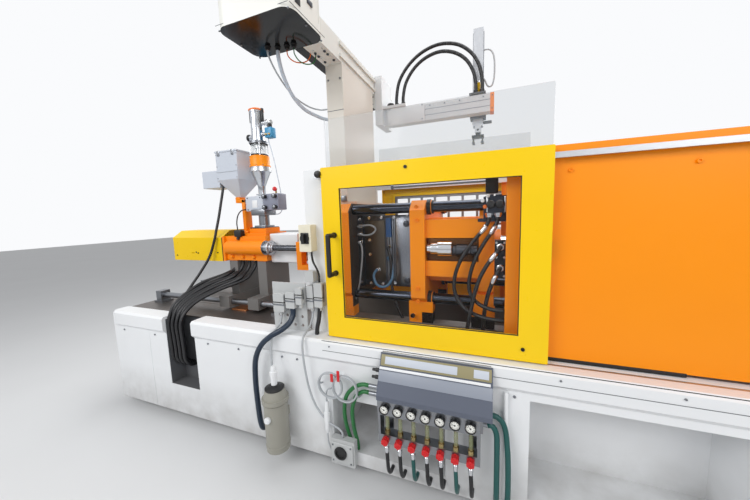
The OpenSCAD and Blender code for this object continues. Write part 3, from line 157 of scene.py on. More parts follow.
def inside(tree, place, low, high):
    """1 within a box given in millimetres, 0 outside it."""
    middle, size = span(low, high)
    half = [s / 2 for s in size]
    moved = add(tree, "ShaderNodeVectorMath", {0: place, 1: middle}, operation="SUBTRACT").outputs[0]
    folded = add(tree, "ShaderNodeVectorMath", {0: moved}, operation="ABSOLUTE").outputs[0]
    past = add(tree, "ShaderNodeVectorMath", {0: folded, 1: half}, operation="SUBTRACT").outputs[0]
    parts = add(tree, "ShaderNodeSeparateXYZ", {0: past}).outputs
    widest = math_node(tree, "MAXIMUM", parts[0], math_node(tree, "MAXIMUM", parts[1], parts[2]))
    return math_node(tree, "LESS_THAN", widest, 0.0)


print("a mid grey of 128 is", round(linear(128, 128, 128)[0], 3), "in linear light")

# %% [markdown]
# One function mixes all of them. `drift` is how much the colour wanders, `skin` the size and height of the bump,
# `grain` a direction that the steel was ground along, `parts` the boxes with other stock or with painted shade, and
# `dust` the height up to which the floor's dirt has climbed.

# %% One function for every solid finish
def finish(name, colour, rough, metal=0.0, drift=0.08, skin=(420, 0.06), grain=None, parts=(), dust=0, gloss=0.5):
    material, tree, shader, place = new_finish(name)
    base = linear(*colour)
    cloud = noise(tree, place, 2.3, 5.0)
    tint = blended(tree, cloud, scaled(base, 1 - drift), scaled(base, 1 + drift))
    wear = noise(tree, place, 34, 4.0, grain)
    shine = between(tree, wear, max(0.02, rough - 0.09), rough + 0.12)
    hard = metal
    for low, high, part_colour, part_rough, part_metal in parts:
        here = inside(tree, place, low, high)
        part_base = linear(*part_colour)
        tint = blended(tree, here, tint, blended(tree, cloud, scaled(part_base, 0.93), part_base))
        gap = math_node(tree, "SUBTRACT", between(tree, wear, part_rough - 0.08, part_rough + 0.1), shine)
        shine = math_node(tree, "ADD", shine, math_node(tree, "MULTIPLY", gap, here))
        if part_metal != metal:
            mask = between(tree, here, metal, part_metal)
            hard = mask if hard is metal else math_node(tree, "MAXIMUM" if part_metal > metal else "MINIMUM", hard,
                mask)
    if dust:
        height = add(tree, "ShaderNodeSeparateXYZ", {0: place}).outputs[2]
        low_down = add(tree, "ShaderNodeMapRange", {"Value": height, "From Min": 0.0, "From Max": dust / 1000,
            "To Min": 0.75, "To Max": 0.0}).outputs[0]
        dirt = math_node(tree, "MULTIPLY", low_down, noise(tree, place, 9, 6.0))
        tint = blended(tree, dirt, tint, linear(120, 112, 100))
    relief = bump(tree, noise(tree, place, skin[0], 2.0, grain), skin[1])
    feed(tree, shader, {"Specular IOR Level": gloss, "Base Color": tint, "Roughness": shine, "Metallic": hard,
        "Normal": relief})
    return material


# %% [markdown]
# Paint on sheet steel has a faint orange peel, paint on castings a sandy one. Ground steel is streaked along its
# length, chrome hardly at all. Rubber and moulded plastic are matt with a fine grain.

# %% Stock of finishes for the whole machine
def paint(name, colour, rough=0.34, **more):
    return finish(name, colour, rough, drift=0.05, skin=(380, 0.05), gloss=0.35, **more)


def cast_paint(name, colour, **more):
    return finish(name, colour, 0.36, drift=0.08, skin=(140, 0.16), gloss=0.35, **more)


def steel(name, colour, rough=0.3, along=(1, 14, 14), **more):
    return finish(name, colour, rough, metal=1.0, drift=0.12, skin=(160, 0.05), grain=along, **more)


def plastic(name, colour, rough=0.42, **more):
    return finish(name, colour, rough, drift=0.07, skin=(900, 0.08), **more)


WHITE, WARM_WHITE, YELLOW = (232, 234, 236), (216, 210, 200), (248, 206, 4)
CAST_ORANGE, PLATEN_ORANGE, PANEL_ORANGE, HOOD_GREY = (250, 140, 10), (255, 146, 4), (255, 148, 0), (92, 98, 112)
DARK_STEEL, GREY_STEEL, BRIGHT, BLACK = (84, 86, 92), (142, 145, 150), (214, 216, 220), (24, 24, 26)

stock = {}
for kind, rows in (
        (paint, [
            ("sheet_white", WHITE), ("warm_white", WARM_WHITE), ("door_yellow", YELLOW, 0.3),
            ("panel_orange", PANEL_ORANGE, 0.36), ("hood_grey", HOOD_GREY, 0.4),
            ("box_grey", (176, 182, 188), 0.4), ("yellow_paint", (240, 198, 4), 0.34),
            ("pale_sheet", (198, 204, 214), 0.4), ("valve_grey", (138, 142, 158), 0.36),
            # The lighter hood grey below is painted light for the upper face of the hood.
            ("hood_light", (146, 152, 164), 0.36), ("olive_frame", (150, 142, 108), 0.4)]),
        (cast_paint, [
            ("cast_orange", CAST_ORANGE), ("platen_paint", PLATEN_ORANGE)]),
        (steel, [
            ("deck_steel", (128, 122, 118), 0.42, (1, 1, 1)), ("ground_steel", GREY_STEEL, 0.3),
            ("tool_steel", DARK_STEEL, 0.34, (14, 14, 1)), ("bar_steel", (72, 76, 86), 0.2),
            ("bright_steel", BRIGHT, 0.22), ("aluminium", (196, 198, 202), 0.36, (14, 1, 1)),
            ("brass", (168, 146, 98), 0.28, (1, 1, 1)), ("brown_steel", (92, 84, 74), 0.36, (14, 14, 1)),
            ("grey_steel", (138, 142, 150), 0.34, (14, 14, 1)),
            ("streaked_steel", (146, 150, 158), 0.28, (26, 26, 1)),
            # The dark brown steel below is painted shade for the openings of the moving platen.
            ("brown_shade", (92, 62, 40), 0.4, (14, 14, 1)), ("copper", (196, 132, 88), 0.4, (1, 14, 14))]),
        (plastic, [
            ("black_plastic", BLACK), ("grey_plastic", (188, 190, 190)), ("dark_grey_plastic", (92, 96, 100)),
            ("cream_plastic", (232, 226, 204)), ("red_plastic", (206, 22, 28), 0.3),
            ("rubber", (20, 20, 22), 0.5), ("orange_plastic", (238, 120, 44), 0.4),
            ("slate_plastic", (46, 88, 142), 0.34), ("filter_grey", (150, 148, 138), 0.4),
            ("valve_blue", (56, 144, 190), 0.32)])):
    for row in rows:
        stock[row[0]] = kind(*row)
stock["chrome"] = finish("chrome", (228, 230, 234), 0.1, metal=1.0, drift=0.03, skin=(90, 0.015), grain=(1, 9, 9))
stock["gloss_black"] = finish("gloss_black", (12, 12, 14), 0.12, drift=0.1, skin=(60, 0.02))
stock["polished_steel"] = finish("polished_steel", (206, 210, 216), 0.16, 1.0, drift=0.1, skin=(60, 0.03),
    grain=(9, 9, 1))
print("finishes in stock:", ", ".join(stock))

# %% [markdown]
# ## Clear pieces
# The door's pane and the clear guard let nearly all light through. A low alpha on a lone Principled shader keeps
# a trace of gloss without bending what lies behind, which real thin sheet doesn't do either.

# %% Clear sheet and the olive flow tubes
def clear_sheet(name, colour, alpha, rough=0.04):
    material, tree, shader, place = new_finish(name)
    base = linear(*colour)
    smear = noise(tree, place, 3.1, 4.0)
    feed(tree, shader, {"Base Color": blended(tree, smear, base, scaled(base, 1.12)), "Alpha": alpha,
        "Roughness": between(tree, smear, rough, rough + 0.06)})
    return material


for sheet in (("pane", (70, 74, 76), 0.05), ("guard_pane", (150, 160, 168), 0.16),
        ("sight_pane", (216, 226, 230), 0.3), ("olive_tube", (150, 156, 120), 0.55, 0.1)):
    stock[sheet[0]] = clear_sheet(*sheet)
print("clear finishes:", 4)

# %% [markdown]
# ## Hoses
# A hose is a real length of rubber: it leaves its fitting straight, droops, and goes back in straight. Its route is
# a few listed points. A smooth line through them gives the tube, and a UV map along the tube lets a ribbed
# conduit have its ribs. A curve with a bevel would do too. A swept mesh is used.

# %% Smooth line and swept tube
def smooth_line(points, step=14):
    """Evenly spaced points, in metres, on a smooth line through points in millimetres."""
    knots = [Vector(p) / 1000 for p in points]
    knots = [2 * knots[0] - knots[1]] + knots + [2 * knots[-1] - knots[-2]]
    dense = []
    for a, b, c, d in zip(knots, knots[1:], knots[2:], knots[3:]):
        for k in range(16):
            t = k / 16
            dense.append(0.5 * (2 * b + (c - a) * t + (2 * a - 5 * b + 4 * c - d) * t * t
                + (3 * b - a - 3 * c + d) * t ** 3))
    dense.append(knots[-2])
    along = [0.0]
    for p, q in zip(dense, dense[1:]):
        along.append(along[-1] + (q - p).length)
    count = max(8, round(along[-1] * 1000 / step))
    line, k = [], 0
    for i in range(count + 1):
        want = along[-1] * i / count
        while k < len(dense) - 2 and along[k + 1] < want:
            k += 1
        part = (want - along[k]) / max(1e-9, along[k + 1] - along[k])
        line.append(dense[k].lerp(dense[k + 1], min(1, part)))
    return line


def line_length(line):
    return sum((q - p).length for p, q in zip(line, line[1:]))


def swept(name, line, diameter, sides=12):
    """A tube along a line, with u around it and v along it in metres."""
    verts, faces, uvs = [], [], []
    side = None
    v = 0.0
    for i, point in enumerate(line):
        ahead = (line[min(i + 1, len(line) - 1)] - line[max(i - 1, 0)]).normalized()
        if side is None:
            side = ahead.orthogonal().normalized()
        side = (side - ahead * side.dot(ahead)).normalized()
        other = ahead.cross(side)
        v += (point - line[i - 1]).length if i else 0
        for k in range(sides):
            a = 2 * math.pi * k / sides
            verts.append(point + diameter / 2000 * (math.cos(a) * side + math.sin(a) * other))
        uvs.append(v)
    for i in range(len(line) - 1):
        for k in range(sides):
            n = (k + 1) % sides
            faces.append((i * sides + k, i * sides + n, (i + 1) * sides + n, (i + 1) * sides + k))
    last = (len(line) - 1) * sides
    faces.append(tuple(reversed(range(sides))))
    faces.append(tuple(range(last, last + sides)))
    mesh = bpy.data.meshes.new(name)
    mesh.from_pydata([tuple(p) for p in verts], [], faces)
    layer = mesh.uv_layers.new(name="along")
    for face in mesh.polygons:
        for loop, vertex in zip(face.loop_indices, face.vertices):
            around = (vertex % sides) / sides
            if len(face.vertices) == 4 and around == 0 and any(w % sides == sides - 1 for w in face.vertices):
                around = 1.0
            layer.data[loop].uv = (around, uvs[vertex // sides])
        face.use_smooth = len(face.vertices) == 4
    tube = bpy.data.objects.new(name, mesh)
    bpy.context.scene.collection.objects.link(tube)
    return tube


print("a 300 mm bow is", round(1000 * line_length(smooth_line([(0, 0, 0), (100, 0, 60), (200, 0, 60),
    (300, 0, 0)]))), "mm")

# %% [markdown]
# Rubber hose has a cloth-textured cover, corrugated conduit has ribs every few millimetres, and smooth PVC cable
# shines a little. All three read the map along the tube.

# %% Hose and cable finishes
def hose_finish(name, colour, rough, rib, height):
    material, tree, shader, place = new_finish(name)
    along = add(tree, "ShaderNodeUVMap", uv_map="along").outputs["UV"]
    scuff = noise(tree, place, 26, 4.0)
    base = linear(*colour)
    ribs = add(tree, "ShaderNodeTexWave", {"Vector": along, "Scale": 1 / rib * 0.05, "Distortion": 0.0},
        bands_direction="Y").outputs["Fac"]
    feed(tree, shader, {"Specular IOR Level": 0.5, "Normal": bump(tree, ribs, height),
        "Base Color": blended(tree, scuff, scaled(base, 0.82), scaled(base, 1.15)),
        "Roughness": between(tree, scuff, rough - 0.08, rough + 0.14)})
    return material


hoses = {row[0]: hose_finish(*row) for row in (
    ("black_hose", (26, 26, 29), 0.4, 0.004, 0.12),
    ("blue_black_hose", (24, 42, 62), 0.34, 0.004, 0.1),
    ("conduit", (26, 27, 30), 0.36, 0.008, 0.8),
    ("pale_conduit", (196, 206, 218), 0.42, 0.008, 0.7),
    ("teal_hose", (16, 82, 78), 0.34, 0.006, 0.1),
    ("green_hose", (28, 108, 52), 0.32, 0.006, 0.08),
    ("blue_hose", (74, 112, 142), 0.32, 0.006, 0.08),
    ("grey_cable", (176, 180, 184), 0.4, 0.01, 0.04),
    ("steel_hose", (150, 156, 162), 0.3, 0.004, 0.3),
    ("orange_wire", (226, 104, 22), 0.34, 0.01, 0.04),
)}
print("hose finishes:", len(hoses))

# %% [markdown]
# ## Cords first
# The hoses come before any other piece, because their length decides how much room they take. Each route repeats the
# points of the CAD source. `lay` sweeps a hose and gives it its finish, and either lets it ride on one body or, when
# it joins two bodies, bakes its place into its mesh.

# %% Numbers of the machine that several pieces share
FRONT, UP, DOWN, LEFT, RIGHT = (0, -1, 0), (0, 0, 1), (0, 0, -1), (-1, 0, 0), (1, 0, 0)
BASE_FRONT = -660.3                      # a cord ends 0.3 mm before the face of the base
CIRCUITS, FIRST_CIRCUIT, CIRCUIT_PITCH = 7, 140, 75
circuit_x = [FIRST_CIRCUIT + CIRCUIT_PITCH * i for i in range(CIRCUITS)]
print("water circuits at x =", circuit_x)


# %% Lay one hose
def lay(name, points, diameter, look, body, bend=None,
        sides=12):
    line = smooth_line(points)
    tube = swept(name, line, diameter, sides)
    tube.data.materials.append(hoses[look])
    if bend:
        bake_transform(tube)
    else:
        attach(tube, body)
    return tube, line


def stand_in(tubes, node):
    """The tubes together stand for one CAD node."""
    for tube in tubes:
        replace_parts(tube, node)


# %% [markdown]
# Seven hydraulic hoses leave the underside of the casting side by side, lean forward over the notch in the shelf and
# dive into the base. They cross the sliding joint of the injection unit, between it and the bed.

# %% Hydraulic hoses of the injection unit
injection_set = []
for i in range(7):
    sx, sy, ex, ey = -1262 - 38 * i, -150 - 34 * (i % 2), -1604 - 23 * i, -636 + 24 * (i % 2)
    points = [(sx, sy, 1266.7), (sx, sy, 1225), (sx - 12, sy - 30, 1172), (sx - 40, sy - 104, 1105 + 6 * i),
        ((sx + ex) / 2 - 30, -390 + 20 * (i % 2), 1034 + 9 * i), (ex + 40, -508, 968 + 8 * i),
        (ex + 8, -596, 900 + 6 * i), (ex, ey - 6, 820), (ex, ey - 6, 700), (ex, ey - 2, 600), (ex, ey, 520),
        (ex, -604 + 20 * (i % 2), 466), (ex, -575, 448), (ex, -530.3, 448)]
    hose, line = lay(f"injection_hose_{i + 1}", points, 27, "black_hose", "carriage",
        bend=("bed", (-1300, -200, 1180), (-1600, -560, 930)))
    injection_set.append(hose)
    if i == 0:
        print("one injection hose is", round(line_length(line), 2), "m long")
stand_in(injection_set, "injection_hoses")
# %% [markdown]
# Behind the window four hoses loop from the valve block of the moving platen down to the bed. Each begins with a
# short steel pipe and a crimped ferrule, swept along the hose's own line.

# %% Clamp hoses behind the window
CLAMP_ROUTES = [
    [(660, -437, 1609.7), (660, -437, 1572), (640, -440, 1530), (590, -445, 1468), (540, -450, 1398),
     (500, -453, 1320), (478, -456, 1240), (480, -462, 1165), (508, -470, 1105), (560, -490, 1062),
     (640, -518, 1043), (700, -530, 1040), (742.7, -530, 1040)],
    [(704, -437, 1609.7), (704, -437, 1570), (686, -442, 1525), (642, -446, 1455), (602, -448, 1380),
     (572, -450, 1300), (558, -454, 1220), (568, -464, 1155), (612, -490, 1110), (676, -522, 1094),
     (716, -530, 1093), (742.7, -530, 1093)],
    [(720, -450.3, 1425), (720, -480, 1425), (702, -494, 1400), (662, -498, 1345), (622, -502, 1270),
     (594, -508, 1185), (576, -515, 1095), (560, -520, 1010), (548, -520, 930), (545, -520, 840), (545, -520, 740.3)],
    [(720, -450.3, 1310), (720, -478, 1310), (704, -490, 1285), (676, -492, 1220), (654, -490, 1140),
     (642, -486, 1060), (636, -480, 980), (634, -476, 900), (634, -475, 820), (634, -475, 740.3)]]
clamp_set, clamp_lines = [], []
for i, points in enumerate(CLAMP_ROUTES):
    high, low = (1560, 1100) if i < 2 else (points[0][2] - 20, 900)
    hose, line = lay(f"clamp_hose_{i + 1}", points, 22, "black_hose", "clamp",
        bend=("bed", (600, -440, high), (600, -440, low)))
    clamp_set.append(hose)
    clamp_lines.append((line, high, low))
stand_in(clamp_set, "clamp_hoses")
print("clamp hoses:", [round(line_length(line), 2) for line, high, low in clamp_lines], "m")


# %% Pipes and ferrules on the clamp hoses
def stretch_of(line, start, end):
    """The part of a line between two distances along it, in millimetres."""
    kept, along = [], 0.0
    for p, q in zip(line, line[1:]):
        if start / 1000 <= along <= end / 1000:
            kept.append(p)
        along += (q - p).length
    return kept


def collar(name, line, start, end, diameter, finish_name):
    """A crimped sleeve around a hose: a tube with its ends drawn in and a few grooves."""
    part = stretch_of(line, start, end)
    tube = swept(name, part, diameter, 16)
    rings = len(part)
    centres = [p.copy() for p in part]
    for vertex in tube.data.vertices:
        ring = vertex.index // 16
        shrink = 0.86 if ring in (0, rings - 1) else 0.93 if ring % 2 else 1.0
        vertex.co = centres[ring] + (vertex.co - centres[ring]) * shrink
    tube.data.materials.append(finish_name)
    return tube


for i, (line, high, low) in enumerate(clamp_lines):
    for name, start, end, diameter in (("nut", 0, 18, 34), ("pipe_shoulder", 20, 34, 26), ("ferrule", 66, 130, 29)):
        sleeve = collar(f"clamp_{name}_{i + 1}", line, start, end, diameter, stock["bright_steel"])
        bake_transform(sleeve)
print("ferrules and nuts:", 3 * len(clamp_lines))

# %% [markdown]
# The water manifold is fed by two green hoses on its left and two teal ones on its right. From every valve below it
# a short hose, black or teal, drops and goes back into the base.

# %% Water hoses
MANIFOLD_ROUTES = [
    [(22.7, -700, 636), (-20, -700, 636), (-78, -702, 606), (-130, -698, 540), (-152, -690, 450),
     (-155, -675, 350), (-150, -650, 260), (-146, -634, 205), (-146, -634, 150.3)],
    [(22.7, -700, 592), (-15, -700, 592), (-62, -700, 556), (-92, -694, 480), (-102, -684, 400),
     (-102, -665, 300), (-98, -644, 225), (-97, -634, 180), (-97, -634, 150.3)],
    [(667.3, -720, 560), (690, -720, 560), (709, -721, 520), (712, -726, 440), (712, -732, 340),
     (712, -736, 250), (712, -732, 190), (712, -716, 145), (712, -690, 122), (712, BASE_FRONT, 122)],
    [(667.3, -700, 600), (710, -700, 600), (746, -702, 555), (760, -712, 450), (764, -722, 360),
     (765, -728, 260), (765, -726, 200), (765, -712, 155), (765, -688, 132), (765, BASE_FRONT, 132)]]
water_set = [lay(f"supply_hose_{i + 1}", points, 24 if i < 2 else 27, look, "bed")[0]
    for i, (points, look) in enumerate(zip(MANIFOLD_ROUTES, ["green_hose"] * 2 + ["teal_hose"] * 2))]
stand_in(water_set, "manifold_hoses")
for i, x in enumerate(circuit_x):
    look = "teal_hose" if i in (2, 5) else "black_hose"
    lay(f"circuit_hose_{i + 1}", [(x, -751, 349.7), (x, -751, 300), (x + 3, -753, 244), (x + 4, -748, 190),
        (x + 4, -728, 148), (x + 4, -700, 128 - 8 * (i % 2)), (x + 4, BASE_FRONT, 126 - 8 * (i % 2))], 21, look,
        "bed")
print("water hoses:", len(water_set) + CIRCUITS)

# %% [markdown]
# Grey cables hang from the plug housings, a thick blue-black hose comes over the shelf and drops past the filter,
# and two corrugated conduits arch over the robot's kick arm to the arm's carriage.

# %% Cables, the thick hose and the robot's conduits
CABLE_ROUTES = [
    [(-640, -614.5, 1000), (-640, -614.5, 955), (-641, -640, 912), (-644, -680, 890), (-648, -712, 860),
     (-648, -724, 800), (-644, -735, 720), (-634, -748, 650), (-622, -755, 606), (-620, -755, 552.3)],
    [(-417, -572.5, 1030), (-417, -572.5, 985), (-417, -610, 925), (-417, -660, 895), (-417, -700, 865),
     (-416, -712, 790), (-408, -708, 660), (-390, -700, 530), (-350, -694, 420), (-280, -690, 340),
     (-210, -682, 300), (-180, -681, 275), (-180, -681, 240.3)],
    [(-395, -580, 1402), (-395, -580, 1370), (-388, -580, 1332), (-366, -578, 1290),
     (-355, -573, 1250), (-355, -572.5, 1220), (-355, -572.5, 1200)]]
cable_set = [lay(f"plug_cable_{i + 1}", points, 13, look, "bed")[0]
    for i, (points, look) in enumerate(zip(CABLE_ROUTES, ("grey_cable", "grey_cable", "black_hose")))]
stand_in(cable_set, "plug_cables")
lay("drop_hose", [(-545, -614, 1029.7), (-545, -614, 985), (-553, -646, 936), (-586, -694, 900), (-650, -722, 862),
    (-730, -730, 790), (-786, -728, 680), (-806, -722, 520), (-808, -716, 360), (-808, -708, 240),
    (-808, -696, 178), (-808, -678, 152), (-808, BASE_FRONT, 150)], 36, "blue_black_hose", "bed")
ARCH_ROUTES = [
    [(-120, 470, 2555.3), (-120, 470, 2640), (-92, 470, 2770), (-8, 470, 2885), (110, 472, 2965),
     (250, 475, 2998), (390, 477, 2970), (498, 479, 2890), (564, 480, 2780), (590, 480, 2660), (590, 480, 2557.3)],
    [(-60, 470, 2555.3), (-60, 470, 2635), (-34, 470, 2745), (36, 470, 2845), (132, 472, 2912),
     (250, 475, 2940), (364, 477, 2914), (458, 479, 2846), (516, 480, 2750), (540, 480, 2650), (540, 480, 2557.3)]]
arch_set = [lay(f"arch_conduit_{i + 1}", points, 28, "conduit", "kick_arm",
    bend=("arm_carriage", (-60, 470, 2700), (540, 480, 2700)))[0] for i, points in enumerate(ARCH_ROUTES)]
stand_in(arch_set, "arm_conduits")
COLUMN_ROUTE = [(-560, -570, 2656.7), (-560, -570, 2600), (-562, -530, 2510), (-560, -450, 2420),
    (-540, -350, 2360), (-500, -250, 2335), (-465, -192, 2325), (-418.3, -192, 2325)]
column_set = [lay("column_conduit_1", COLUMN_ROUTE, 24, "pale_conduit", "bed")[0]]
stand_in(column_set, "column_conduit")
lay("cabinet_cable", [(-610, -600, 2656.7), (-610, -600, 2606), (-606, -520, 2520), (-590, -400, 2440),
    (-550, -280, 2400), (-500, -215, 2390), (-460, -205, 2388), (-418.3, -205, 2388)], 11, "grey_cable", "bed")
print("conduits over the arm:", [round(line_length(smooth_line(p)), 2) for p in ARCH_ROUTES], "m")

# %% [markdown]
# ## The CAD pieces get their stock
# Most solids have the right shape already, so each only needs its own paint or metal. A few solids carry two kinds
# of stock, such as a steel rod in a painted bracket. For these a box in space marks the second stock. One box in the
# base instead paints shade into the hose notch.

# %% Finishes of solids with two kinds of stock, and painted shade in the base's hose notch
def two_tone_and_shade():
    far = 9000
    return {
        "base_frame": paint("base_white", WHITE, dust=420, parts=[
            ((-470, -586, 600), (1500, 466, 1000), (116, 108, 100), 0.34, 0.0),
            # Painted shade: this dark grey box colours the inside of the hose notch, where the white sheet lies in
            # shade.
            ((-1762, -657, 290), (-1438, -520, 852), (96, 98, 102), 0.4, 0.0)]),
        "injection_casting": cast_paint("casting_orange", CAST_ORANGE, parts=[
            ((-far, -far, 0), (far, far, 1258), (120, 118, 116), 0.4, 0.0),
            ((-1071, -far, 1300), (far, far, 1450), (168, 172, 178), 0.26, 1.0)]),
        "injection_cover": paint("cover_yellow", (240, 198, 4), 0.3),
        "carriage_rods": cast_paint("rod_brackets", CAST_ORANGE, parts=[
            ((-far, -far, 0), (-746, far, far), (96, 98, 104), 0.24, 1.0)]),
        "back_guard": paint("back_guard_yellow", YELLOW, 0.3, parts=[
            ((-161, 0, 999), (805, 900, 1781), (150, 152, 156), 0.4, 1.0)]),
        "robot_beam": paint("beam_white", (222, 222, 216), parts=[
            ((-far, -far, 2650), (-419, far, 2664), (38, 38, 42), 0.45, 0.0)]),
        "kick_arm": paint("kick_arm_paint", (216, 218, 220), parts=[
            ((651.5, 400, 2300), (720, 600, 2600), CAST_ORANGE, 0.36, 0.0)]),
        "aprons": paint("shelf_white", WHITE, parts=[
            ((-298, -far, 857), (2362, far, 860), (40, 40, 42), 0.4, 0.0)]),
        "robot_cabinet": paint("cabinet_white", (228, 228, 222), 0.3, parts=[
            ((-far, -far, 2650), (far, far, 2659), (10, 10, 11), 0.1, 0.0)]),
        "fixed_platen": cast_paint("fixed_platen_orange", PLATEN_ORANGE, parts=[
            ((-206, -424, 1000), (-190, 400, 1700), (84, 72, 62), 0.4, 0.6)]),
        "moving_platen": cast_paint("platen_orange", PLATEN_ORANGE, parts=[
            ((600, -480, 1561), (760, -394.5, 1800), (64, 68, 78), 0.34, 1.0),
            ((690.5, -480, 1200), (760, -380, 1500), (58, 60, 66), 0.36, 1.0),
            ((272, -far, 0), (far, far, 1004), (58, 58, 62), 0.36, 1.0)]),
        "clamp_cylinder": cast_paint("cylinder_orange", CAST_ORANGE, parts=[
            ((1415, -far, 900), (far, far, 1900), (150, 153, 158), 0.34, 1.0)]),
    }


FINISHES = {
    "deck_steel": "deck_plate", "ground_steel": "leveling_feet guide_bars ejector flow_manifold barrel screw",
    "bar_steel": "tie_bars", "tool_steel": "tie_nuts mould_fixed mould_moving", "chrome": "clamp_ram",
    "door_yellow": "door_frame", "pane": "door_window", "black_plastic": "door_handle isolator_knob gripper",
    "aluminium": "door_rails vertical_arm", "panel_orange": "clamp_panels guard_post",
    "sheet_white": "guard_panel barrel_guard", "cream_plastic": "isolator_box", "guard_pane": "top_guard",
    "grey_plastic": "plug_housings", "filter_grey": "water_filter", "hood_grey": "flow_hood",
    "gloss_black": "flow_gauges", "olive_tube": "flow_tubes", "warm_white": "robot_column",
    "dark_grey_plastic": "arm_carriage"}
SPARE = {"feed_hopper", "material_box", "sight_glass", "injection_hoses", "clamp_hoses", "manifold_hoses",
    "plug_cables", "arm_conduits", "column_conduit"}

looks = {node: stock[name] for name, nodes in FINISHES.items() for node in nodes.split()}
looks.update({f"flow_knob_{i + 1}": stock["red_plastic"] for i in range(CIRCUITS)})
looks.update(two_tone_and_shade())
for node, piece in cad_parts.items():
    piece.data.materials.clear()
    piece.data.materials.append(hoses["black_hose"] if node in SPARE else looks[node])
print("solids with a finish:", len(looks), "and stand-ins", len(SPARE))

# %% [markdown]
# ## Tools for new pieces
# Every small piece starts as a primitive at its place and is shaped in edit mode. Three shapes cover most of what a
# machine carries: a block with rounded edges, a turned part, and a flat frame. Each could be drawn vertex by vertex,
# but extruding rings and bevelling edges is how the same part is made by hand.

# %% Start clean, and close a piece
def fresh():
    """Object mode with nothing selected."""
    if bpy.context.mode != "OBJECT":
        bpy.ops.object.mode_set(mode="OBJECT")
    bpy.ops.object.select_all(action="DESELECT")


def opened(name):
    """The new primitive gets its name and is opened in edit mode."""
    bpy.context.object.name = name
    bpy.ops.object.mode_set(mode="EDIT")
    bpy.ops.mesh.select_all(action="SELECT")
    return bpy.context.object


def alone(piece):
    """Only this piece is selected, and it is the active one."""
    fresh()
    piece.select_set(True)
    bpy.context.view_layer.objects.active = piece


def place_in_mesh(piece):
    alone(piece)
    bpy.ops.object.transform_apply(location=True, rotation=True, scale=True)
    return piece


def dress(piece, look, body="bed", angle=34):
    """The piece gets its finish, soft shading on its curves, and the body it moves with."""
    alone(piece)
    piece.data.materials.clear()
    piece.data.materials.append(stock.get(look) or hoses[look])
    bpy.ops.object.shade_smooth_by_angle(angle=math.radians(angle))
    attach(piece, body)
    return piece


print("tools: fresh, opened, alone, place_in_mesh, dress")


# %% Rounded block
def block(name, low, high, edge=3, steps=2):
    """A block between two corners, with its edges rounded."""
    fresh()
    middle, size = span(low, high)
    bpy.ops.mesh.primitive_cube_add(size=1, location=middle)
    piece = opened(name)
    bpy.ops.transform.resize(value=size, center_override=middle)
    bpy.ops.mesh.bevel(offset=min(edge / 1000, min(size) * 0.45), segments=steps, affect="EDGES")
    return place_in_mesh(piece)


# %% Turned part
def turned(name, at, ahead, rings, sides=24):
    """A lathe shape along a direction, from rings of (distance, radius)."""
    fresh()
    first, radius = rings[0]
    bpy.ops.mesh.primitive_circle_add(vertices=sides, radius=radius / 1000, fill_type="NGON",
        location=(0, 0, first / 1000))
    piece = opened(name)
    for (here, r), (there, s) in zip(rings, rings[1:]):
        bpy.ops.mesh.extrude_region_move(TRANSFORM_OT_translate={"value": (0, 0, (there - here) / 1000)})
        bpy.ops.transform.resize(value=(s / r, s / r, 1), center_override=(0, 0, there / 1000))
    bpy.ops.mesh.select_all(action="SELECT")
    bpy.ops.mesh.normals_make_consistent(inside=False)
    place_in_mesh(piece)
    turn = Vector((0, 0, 1)).rotation_difference(Vector(ahead).normalized()).to_matrix().to_4x4()
    piece.data.transform(Matrix.Translation(Vector(at) / 1000) @ turn)
    return piece


# %% Frame of strip material, and copies joined into one piece
def strip_frame(name, low, high, width, edge=1.5):
    """A flat rectangular frame that faces along Y, such as a seal around a window."""
    fresh()
    middle, size = span(low, high)
    front = (middle[0], low[1] / 1000, middle[2])
    bpy.ops.mesh.primitive_plane_add(size=1, location=front, rotation=(math.pi / 2, 0, 0))
    piece = opened(name)
    bpy.ops.transform.resize(value=(size[0], 1, size[2]), center_override=front)
    bpy.ops.mesh.inset(thickness=width / 1000)
    bpy.ops.mesh.delete(type="FACE")
    bpy.ops.mesh.select_all(action="SELECT")
    bpy.ops.mesh.extrude_region_move(TRANSFORM_OT_translate={"value": (0, size[1], 0)})
    bpy.ops.mesh.select_all(action="SELECT")
    bpy.ops.mesh.normals_make_consistent(inside=False)
    bpy.ops.mesh.bevel(offset=edge / 1000, segments=2, affect="EDGES")
    return place_in_mesh(piece)


def joined(name, pieces):
    """Several pieces of the same stock as one piece."""
    fresh()
    for piece in pieces:
        piece.select_set(True)
    bpy.context.view_layer.objects.active = pieces[0]
    if len(pieces) > 1:
        bpy.ops.object.join()
    pieces[0].name = name
    return pieces[0]


def group(name, pieces, look, body="bed", angle=34):
    """Several pieces of the same stock, joined and dressed."""
    return dress(joined(name, pieces), look, body, angle)


def twin_of(piece, move, name=None):
    """A copy with its own mesh, moved."""
    twin = bpy.data.objects.new(name or piece.name, piece.data.copy())
    twin.data.transform(Matrix.Translation(Vector(move) / 1000))
    bpy.context.scene.collection.objects.link(twin)
    return twin


def repeated(piece, moves):
    """One piece modelled once and copied, each copy with its own mesh, all joined."""
    name, twins = piece.name, [twin_of(piece, move) for move in moves]
    bpy.data.objects.remove(piece)
    return joined(name, twins)


SOCKET_HEAD = [(0, 1.0), (0.75, 1.0), (0.9, 0.9), (0.9, 0.55), (0.45, 0.5)]


def screws(name, places, ahead, radius, look="tool_steel", body="bed", sides=16):
    """Socket head screws at several places, facing one way."""
    head = turned(name, (0, 0, 0), ahead, [(d * radius, r * radius) for d, r in SOCKET_HEAD], sides)
    return dress(repeated(head, places), look, body)


def nuts(name, places, ahead, radius, look="ground_steel", body="bed"):
    """Hexagon heads at several places."""
    head = turned(name, (0, 0, 0), ahead, [(0, radius), (radius * 0.6, radius), (radius * 0.72, radius * 0.8)], 6)
    return dress(repeated(head, places), look, body)


print("tools: block, turned, strip_frame, joined, group, repeated, screws, nuts")

